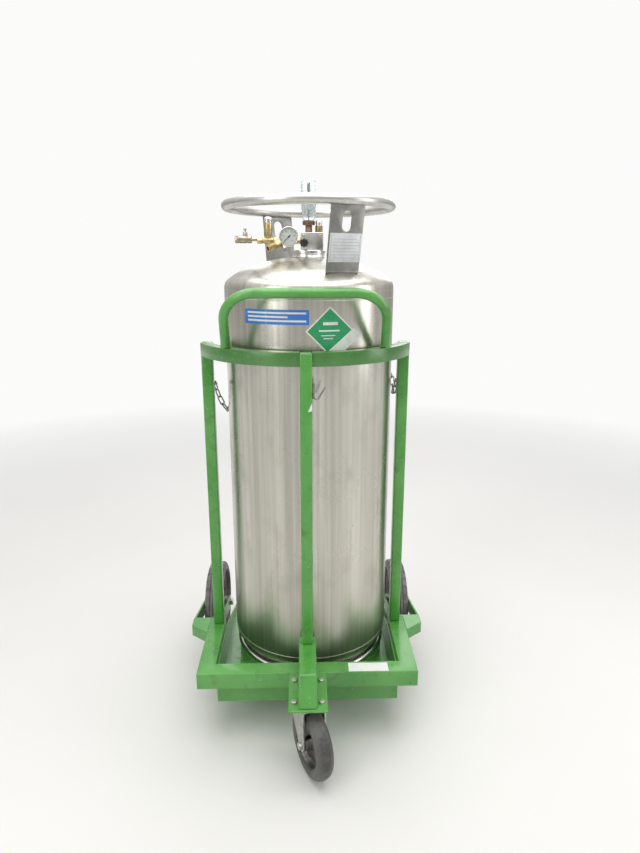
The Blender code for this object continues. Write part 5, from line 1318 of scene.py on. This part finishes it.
def makeCoupling():
    low, high = (Vector(c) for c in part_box("line_coupling"))
    r = coupling["radius"]
    y, z, full = (low.y + high.y) / 2, low.z + r, r * 0.98
    start = Vector((high.x, y, z))
    nipple = bar("couplingNipple", start, start - Vector((coupling["nippleLength"], 0, 0)),
                 coupling["nipple"], 28)
    body = spun("couplingBody", [
        (0, 0.0148), (r * 0.86, 0.0148), (full, 0.0162), (full, 0.0262), (r * 0.88, 0.0272),
        (r * 0.88, 0.0300), (full, 0.0310), (full, 0.0500), (r * 0.90, 0.0508), (r * 0.90, 0.0530),
        (full, 0.0540), (full, 0.0622), (r * 0.86, 0.0638), (0, 0.0638)], start, (-1, 0, 0), 56)
    finish(joined("lineCoupling", nipple, body), root, "nickel", "line_coupling", smooth=40)
    spot, top = (high.x - coupling["bleedFrom"], y, 0), z + r
    nut = sixSided("bleedHexagon", [(0, top - 0.0024), (0.0054, top - 0.0024), (0.0059, top - 0.0016),
                                    (0.0059, top + 0.0090), (0.0052, top + 0.0100), (0, top + 0.0100)],
                   spot, edge=0.0004)
    ball = spun("bleedBall", [(0.0, top + 0.0095), (0.0034, top + 0.0098), (0.0030, top + 0.0135),
                              (0.0040, top + 0.0152), (0.0048, top + 0.0180), (0.0041, top + 0.0208),
                              (0.0022, top + 0.0226), (0, top + 0.0230)], spot, steps=32)
    finish(joined("bleedScrew", nut, ball), root, "zinc", smooth=40)


disc = {"radius": 0.0103, "nut": 0.0205, "hole": 0.34}


def makeDiscHolder():
    low, high = (Vector(c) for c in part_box("rupture_disc_holder"))
    foot, top, r = low.z, high.z, disc["radius"]
    spot, hole = ((low.x + high.x) / 2, (low.y + high.y) / 2, 0), r * disc["hole"]
    nut = sixSided("discHexagon", nutProfile(r * 0.93, r * 0.86, foot, foot + disc["nut"]), spot, edge=0.0005)
    upper = spun("discCap", [(0, foot + 0.0200), (r * 0.80, foot + 0.0200), (r * 0.80, foot + 0.0238),
                             (r * 0.98, foot + 0.0250), (r * 0.98, top - 0.0030), (r * 0.80, top),
                             (hole, top), (hole, top - 0.004), (0, top - 0.004)], spot, steps=48)
    finish(nut, root, "brass", "rupture_disc_holder")
    finish(upper, root, "bright")


makeFlange()
makeManifold()
makeContentsGauge()
makeSightTube()
makeFloat()
makeReliefLine()
makeReliefValve()
makeCoupling()
makeDiscHolder()
print("manifold screwed together")


gauge = {"x": -0.045, "z": 1.481, "radius": 0.0275, "rim": 0.0025, "depth": 0.028, "pipe": 0.0058,
         "card": (0.0056, 0.0059), "start": radians(225), "sweep": radians(270), "steps": 10, "ticks": 5,
         "tickEnd": 0.0222, "major": (0.0185, 0.00084), "minor": (0.0204, 0.00036), "tickY": 0.00548,
         "tickThick": 0.00016, "numbers": 0.0148, "numberSize": 0.0052, "numberY": 0.0055,
         "numberThick": 0.00004, "needleY": 0.0034, "hand": 0.0188, "tail": 0.0060}


def dialAngle(share):
    return gauge["start"] - gauge["sweep"] * share


def makeGaugeCase(centre, end):
    r, rim, deep, back = gauge["radius"], gauge["rim"], gauge["depth"], (0, 1, 0)
    case = spun("pressureGauge", [
        (0, deep), (r * 0.84, deep), (r * 0.92, deep * 0.955), (r * 0.955, deep * 0.86), (r * 0.955, 0.0088),
        (r * 0.985, 0.0080), (r, 0.0064), (r, 0.0012), (r - 0.0006, 0.0003), (r - 0.0013, 0),
        (r - 0.0020, 0.0002), (r - rim, 0.0010), (r - rim, 0.0060), (0, 0.0060)], centre, back, 96)
    x, z = gauge["x"], reliefLine["z"]
    stem = bar("gaugeStemPipe", (x, centre.y + deep - 0.004, z), (x, end, z), gauge["pipe"], 28)
    nut = sixSided("gaugeStemNut", nutProfile(0.0061, 0.0052, 0, 0.0108, 0.0008, 0.0008),
                   (x, centre.y + deep + 0.012, z), back, 0.0004)
    finish(joined("pressureGauge", case, stem, nut), root, "bright", "pressure_gauge_case", smooth=36)


def makeTick(centre, share, inner, width):
    outer, thick = gauge["tickEnd"], gauge["tickThick"]
    clearSelection()
    bpy.ops.mesh.primitive_cube_add(size=1, scale=(outer - inner, thick, width),
                                    location=((outer + inner) / 2, gauge["tickY"], 0))
    tick = added("dialTick")
    tick.data.transform(Matrix.Translation(centre) @ Matrix.Rotation(-dialAngle(share), 4, "Y"))
    return tick


def makeNumber(centre, share, words):
    clearSelection()
    bpy.ops.object.text_add(rotation=(pi / 2, 0, 0))
    text = bpy.context.object
    text.data.body = words
    text.data.align_x, text.data.align_y = "CENTER", "CENTER"
    text.data.size = gauge["numberSize"]
    text.data.extrude = gauge["numberThick"]
    text.data.resolution_u = 2
    pick(text)
    bpy.ops.object.convert(target="MESH")
    number = added("dialNumber")
    out, angle = gauge["numbers"], dialAngle(share)
    number.data.transform(Matrix.Translation(
        centre + Vector((out * cos(angle), gauge["numberY"], out * sin(angle)))))
    return number


def makeDial(centre):
    reach, (face, back) = gauge["radius"] - gauge["rim"] - 0.0004, gauge["card"]
    card = spun("gaugeDial", [(0, back), (0, face), (reach, face), (reach, back), (0, back)], centre,
                (0, 1, 0), 72)
    finish(card, root, "dial")
    ticks = gauge["steps"] * gauge["ticks"]
    ink = [makeTick(centre, i / ticks, *gauge["minor" if i % gauge["ticks"] else "major"])
           for i in range(ticks + 1)]
    ink += [makeNumber(centre, i / gauge["steps"], str(i * 5)) for i in range(0, gauge["steps"] + 1, 2)]
    finish(joined("dialMarks", *ink), root, "ink", smooth=10)


def makeNeedle(face):
    spot = Vector((gauge["x"], face + gauge["needleY"], gauge["z"]))
    boss = spun("gaugeNeedle", [(0, 0), (0.0022, 0), (0.0027, 0.0005), (0.0027, 0.0022), (0, 0.0022)], spot,
                (0, 1, 0), 32)
    angle = gauge["start"]
    along, side = Vector((cos(angle), sin(angle))), Vector((-sin(angle), cos(angle)))
    half = [(-gauge["tail"], 0.0013), (0.002, 0.0010), (gauge["hand"], 0.0003)]
    outline = [along * out - side * width for out, width in half]
    outline += [along * out + side * width for out, width in reversed(half)]
    hand = plate("needleHand", [(spot.x + v.x, spot.z + v.y) for v in outline], "Y", spot.y + 0.0004,
                 spot.y + 0.0012)
    finish(joined("gaugeNeedle", boss, hand), "needle", "ink", "gauge_needle")


def makeLens(centre):
    r = gauge["radius"]
    seat = r - gauge["rim"] - 0.0004
    lens = spun("gaugeLens", [(0, 0.0007), (r * 0.45, 0.00085), (seat - 0.0005, 0.0014), (seat, 0.0018),
                              (seat, 0.0025), (0, 0.0025)], centre, (0, 1, 0), 72)
    finish(lens, root, "glass", "gauge_lens")


def makePressureGauge():
    low, high = (Vector(c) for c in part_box("pressure_gauge_case"))
    centre = Vector((gauge["x"], low.y, gauge["z"]))
    makeGaugeCase(centre, high.y)
    makeDial(centre)
    makeNeedle(low.y)
    makeLens(centre)


valves = {
    "vent": {"node": "vent_valve", "look": "bright", "facing": -1, "lobes": 8},
    "liquid": {"node": "liquid_valve", "look": "brass", "facing": 1, "lobes": 6},
    "builder": {"node": "builder_valve", "look": "brass", "facing": 1, "lobes": 6},
}
bonnet = {"length": 0.036, "radius": 0.0085, "stem": 0.0038, "stemEnd": 0.0098, "knobSink": 0.003,
          "knobReach": 0.017, "knobBore": 0.0050, "gripFrom": 0.60, "valley": 0.25, "squeeze": 0.17}


def makeBonnet(key, spot, out):
    spec, end, r = valves[key], bonnet["length"], bonnet["radius"]
    stem, stemEnd = bonnet["stem"], bonnet["length"] + bonnet["stemEnd"]
    nut = sixSided("bonnetNut", nutProfile(r, r * 0.92, 0, 0.0098, 0.0008), spot, out, 0.0004)
    body = spun("bonnetBody", [(0, 0.009), (r * 0.78, 0.009), (r * 0.78, 0.0225), (r * 0.90, 0.0235),
                               (r * 0.97, 0.0245), (r * 0.97, end - 0.0070), (r * 0.90, end - 0.0062),
                               (stem, end - 0.0055), (stem, stemEnd), (0, stemEnd)], spot, out, 48)
    finish(joined(f"{key}Bonnet", nut, body), root, spec["look"], spec["node"] + "_bonnet")


def makeKnob(key, spot, out):
    # turned round, then pressed in between its lobes
    spec, bore = valves[key], bonnet["knobBore"]
    low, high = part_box(spec["node"] + "_knob")
    near, far = bonnet["length"] - bonnet["knobSink"], bonnet["length"] + bonnet["knobReach"]
    r, lobes, valley = (high[0] - low[0]) / 2, spec["lobes"], bonnet["valley"]
    part = spun(f"{key}Knob", [
        (bore, near), (r * 0.66, near), (r * 0.86, near + 0.0012), (r * 0.97, near + 0.0040),
        (r * 0.985, near + 0.0095), (r * 0.97, far - 0.0042), (r * 0.87, far - 0.0012),
        (r * 0.70, far - 0.0001), (r * 0.42, far - 0.0002), (r * 0.36, far - 0.0012), (0, far - 0.0014),
        (0, far - 0.0064), (bore, far - 0.0064), (bore, near)], spot, out, lobes * 10)
    edit(part)
    mesh = bmesh.from_edit_mesh(part.data)
    for vertex in mesh.verts:
        reach, along, share = aboutAxis(vertex.co, spot, out)
        depth = -cos(share * 2 * pi * lobes) - valley
        if reach > r * bonnet["gripFrom"] and depth > 0:
            core = spot + Vector(out) * along
            vertex.co = core + (vertex.co - core) * (1 - bonnet["squeeze"] * depth / (1 - valley))
    bmesh.update_edit_mesh(part.data)
    leave()
    finish(part, f"{key}_knob", "black", spec["node"] + "_knob", smooth=45)


def makeValve(key):
    low, high = (Vector(c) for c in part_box(valves[key]["node"] + "_bonnet"))
    facing = valves[key]["facing"]
    spot = Vector(((low.x + high.x) / 2, high.y if facing < 0 else low.y, (low.z + high.z) / 2))
    makeBonnet(key, spot, (0, facing, 0))
    makeKnob(key, spot, (0, facing, 0))


for key in valves:
    makeValve(key)
makePressureGauge()
# what the shell hides keeps its CAD shape
for name in ("inner_vessel", "neck_tube", "dip_tube"):
    dress(name, "tube")
dress("vaporizer_coil", "copper")
print("gauge and valves fitted")


# places on the shell's front: across from the axis, then height
films = {
    "blue": {"low": (-0.178, 1.249), "high": (-0.002, 1.289)},
    "stripes": {"count": 3, "margin": 0.008, "first": 0.0075, "pitch": 0.0105, "width": 0.005,
                "shorter": 0.05},
    "diamond": {"centre": (0.054, 1.232), "half": 0.0665, "border": 0.0055,
                "bars": ((-0.019, 0.021, 0.0165, 0.0245), (-0.030, 0.026, -0.0005, 0.0035),
                         (-0.024, 0.014, -0.0125, -0.0100), (-0.018, 0.008, -0.0205, -0.0180))},
    "strip": {"low": (0.050, 1.160), "high": (0.150, 1.246), "start": (0.1300, 1.2290),
              "along": (0.76, 0.65), "halfWidth": 0.0150, "length": 0.105, "tear": (0.12, 0.2)},
    "rail": ((0.122, -0.334), (0.241, -0.3335), (0.2405, -0.2945), (0.1225, -0.2938)),
    "scrap": ((0.005, 1.025), (0.0165, 1.0265), (0.0162, 1.050)),
    "thick": 0.0003,
}
# how far each layer lies off the shell
layers = {"under": 0.0002, "over": 0.00045, "bars": 0.0007, "strip": 0.0009}


def shellPatch(name, x0, x1, z0, z1, lift, steps=20, rows=8):
    # a film laid on the shell: an upright edge swept round the axis, to be given a thickness later
    r = dewar["shellRadius"] + lift
    first, last = asin(x0 / r), asin(x1 / r)
    start = axisPoint + Vector((r * sin(first), -r * cos(first), 0))
    part = pen(name, [start + Vector((0, 0, z0 + (z1 - z0) * i / rows)) for i in range(rows + 1)])
    bpy.ops.mesh.select_all(action="SELECT")
    swing(steps, last - first, axisPoint, (0, 0, 1))
    tidyNormals()
    leave()
    return part


def shellSpot(x, z):
    return axisPoint + Vector((x, -sqrt(dewar["shellRadius"] ** 2 - x * x), z))


def trimmed(part, planes):
    edit(part)
    for co, no in planes:
        bpy.ops.mesh.select_all(action="SELECT")
        bpy.ops.mesh.bisect(plane_co=co, plane_no=no, clear_outer=True)
    leave()
    return part


def filmThickness(part, amount=0.00022):
    edit(part, "FACE")
    bpy.ops.mesh.select_all(action="SELECT")
    bpy.ops.mesh.normals_make_consistent(inside=False)
    mesh = bmesh.from_edit_mesh(part.data)
    mesh.faces.ensure_lookup_table()
    outward = mesh.faces[0].calc_center_median() - axisPoint
    outward.z = 0
    if mesh.faces[0].normal.dot(outward) < 0:
        bpy.ops.mesh.flip_normals()
    leave()
    return withModifier(part, "SOLIDIFY", thickness=amount, offset=1.0)


def makeBlueFilm():
    (x0, z0), (x1, z1) = films["blue"]["low"], films["blue"]["high"]
    finish(filmThickness(shellPatch("blueFilm", x0, x1, z0, z1, layers["under"])), root, "blueFilm")
    spec, stripes = films["stripes"], []
    for i in range(spec["count"]):
        low, end = z0 + spec["first"] + spec["pitch"] * i, x1 - spec["margin"] - spec["shorter"] * (i % 2)
        stripes.append(shellPatch("paleStripe", x0 + spec["margin"], end, low, low + spec["width"],
                                  layers["over"]))
    finish(filmThickness(joined("paleStripes", *stripes), 0.0001), root, "whiteFilm")


def makeDiamond():
    spec = films["diamond"]
    x, z = spec["centre"]
    for name, half, layer, look in (("diamondBorder", spec["half"], "under", "whiteFilm"),
                                    ("diamondFace", spec["half"] - spec["border"], "over", "greenFilm")):
        part = shellPatch(name, x - half, x + half, z - half, z + half, layers[layer])
        sides = [(shellSpot(x, z) + Vector((sx * half, 0, 0)), Vector((sx, 0, sz)).normalized())
                 for sx in (-1, 1) for sz in (-1, 1)]
        finish(filmThickness(trimmed(part, sides), 0.0002), root, look)
    bars = [shellPatch("diamondBar", x + x0, x + x1, z + z0, z + z1, layers["bars"])
            for x0, x1, z0, z1 in spec["bars"]]
    finish(filmThickness(joined("diamondBars", *bars), 0.0001), root, "whiteFilm")


def makeTornStrip():
    # a patch trimmed to a slanted band with two ragged ends
    spec = films["strip"]
    (x0, z0), (x1, z1) = spec["low"], spec["high"]
    torn = shellPatch("tornStrip", x0, x1, z0, z1, layers["strip"])
    along = Vector((spec["along"][0], 0, spec["along"][1])).normalized()
    across = Vector((-along.z, 0, along.x))
    spot, (upper, lower) = shellSpot(*spec["start"]), spec["tear"]
    trimmed(torn, [(spot + across * spec["halfWidth"], across), (spot - across * spec["halfWidth"], -across),
                   (spot, (along + across * upper).normalized()),
                   (spot - along * spec["length"], (across * lower - along).normalized())])
    finish(filmThickness(torn), root, "whiteFilm")


def makeLabels():
    top, front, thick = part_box("base_frame")[1][2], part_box("centre_post")[0][1], films["thick"]
    corners = [(x, dewar["y"] + y) for x, y in films["rail"]]
    finish(plate("railLabel", corners, "Z", top + 0.0001, top + 0.0001 + thick), root, "whiteFilm")
    finish(plate("postScrap", films["scrap"], "Y", front - 0.0001 - thick, front - 0.0001), root, "whiteFilm")


makeBlueFilm()
makeDiamond()
makeTornStrip()
makeLabels()
print("films laid")
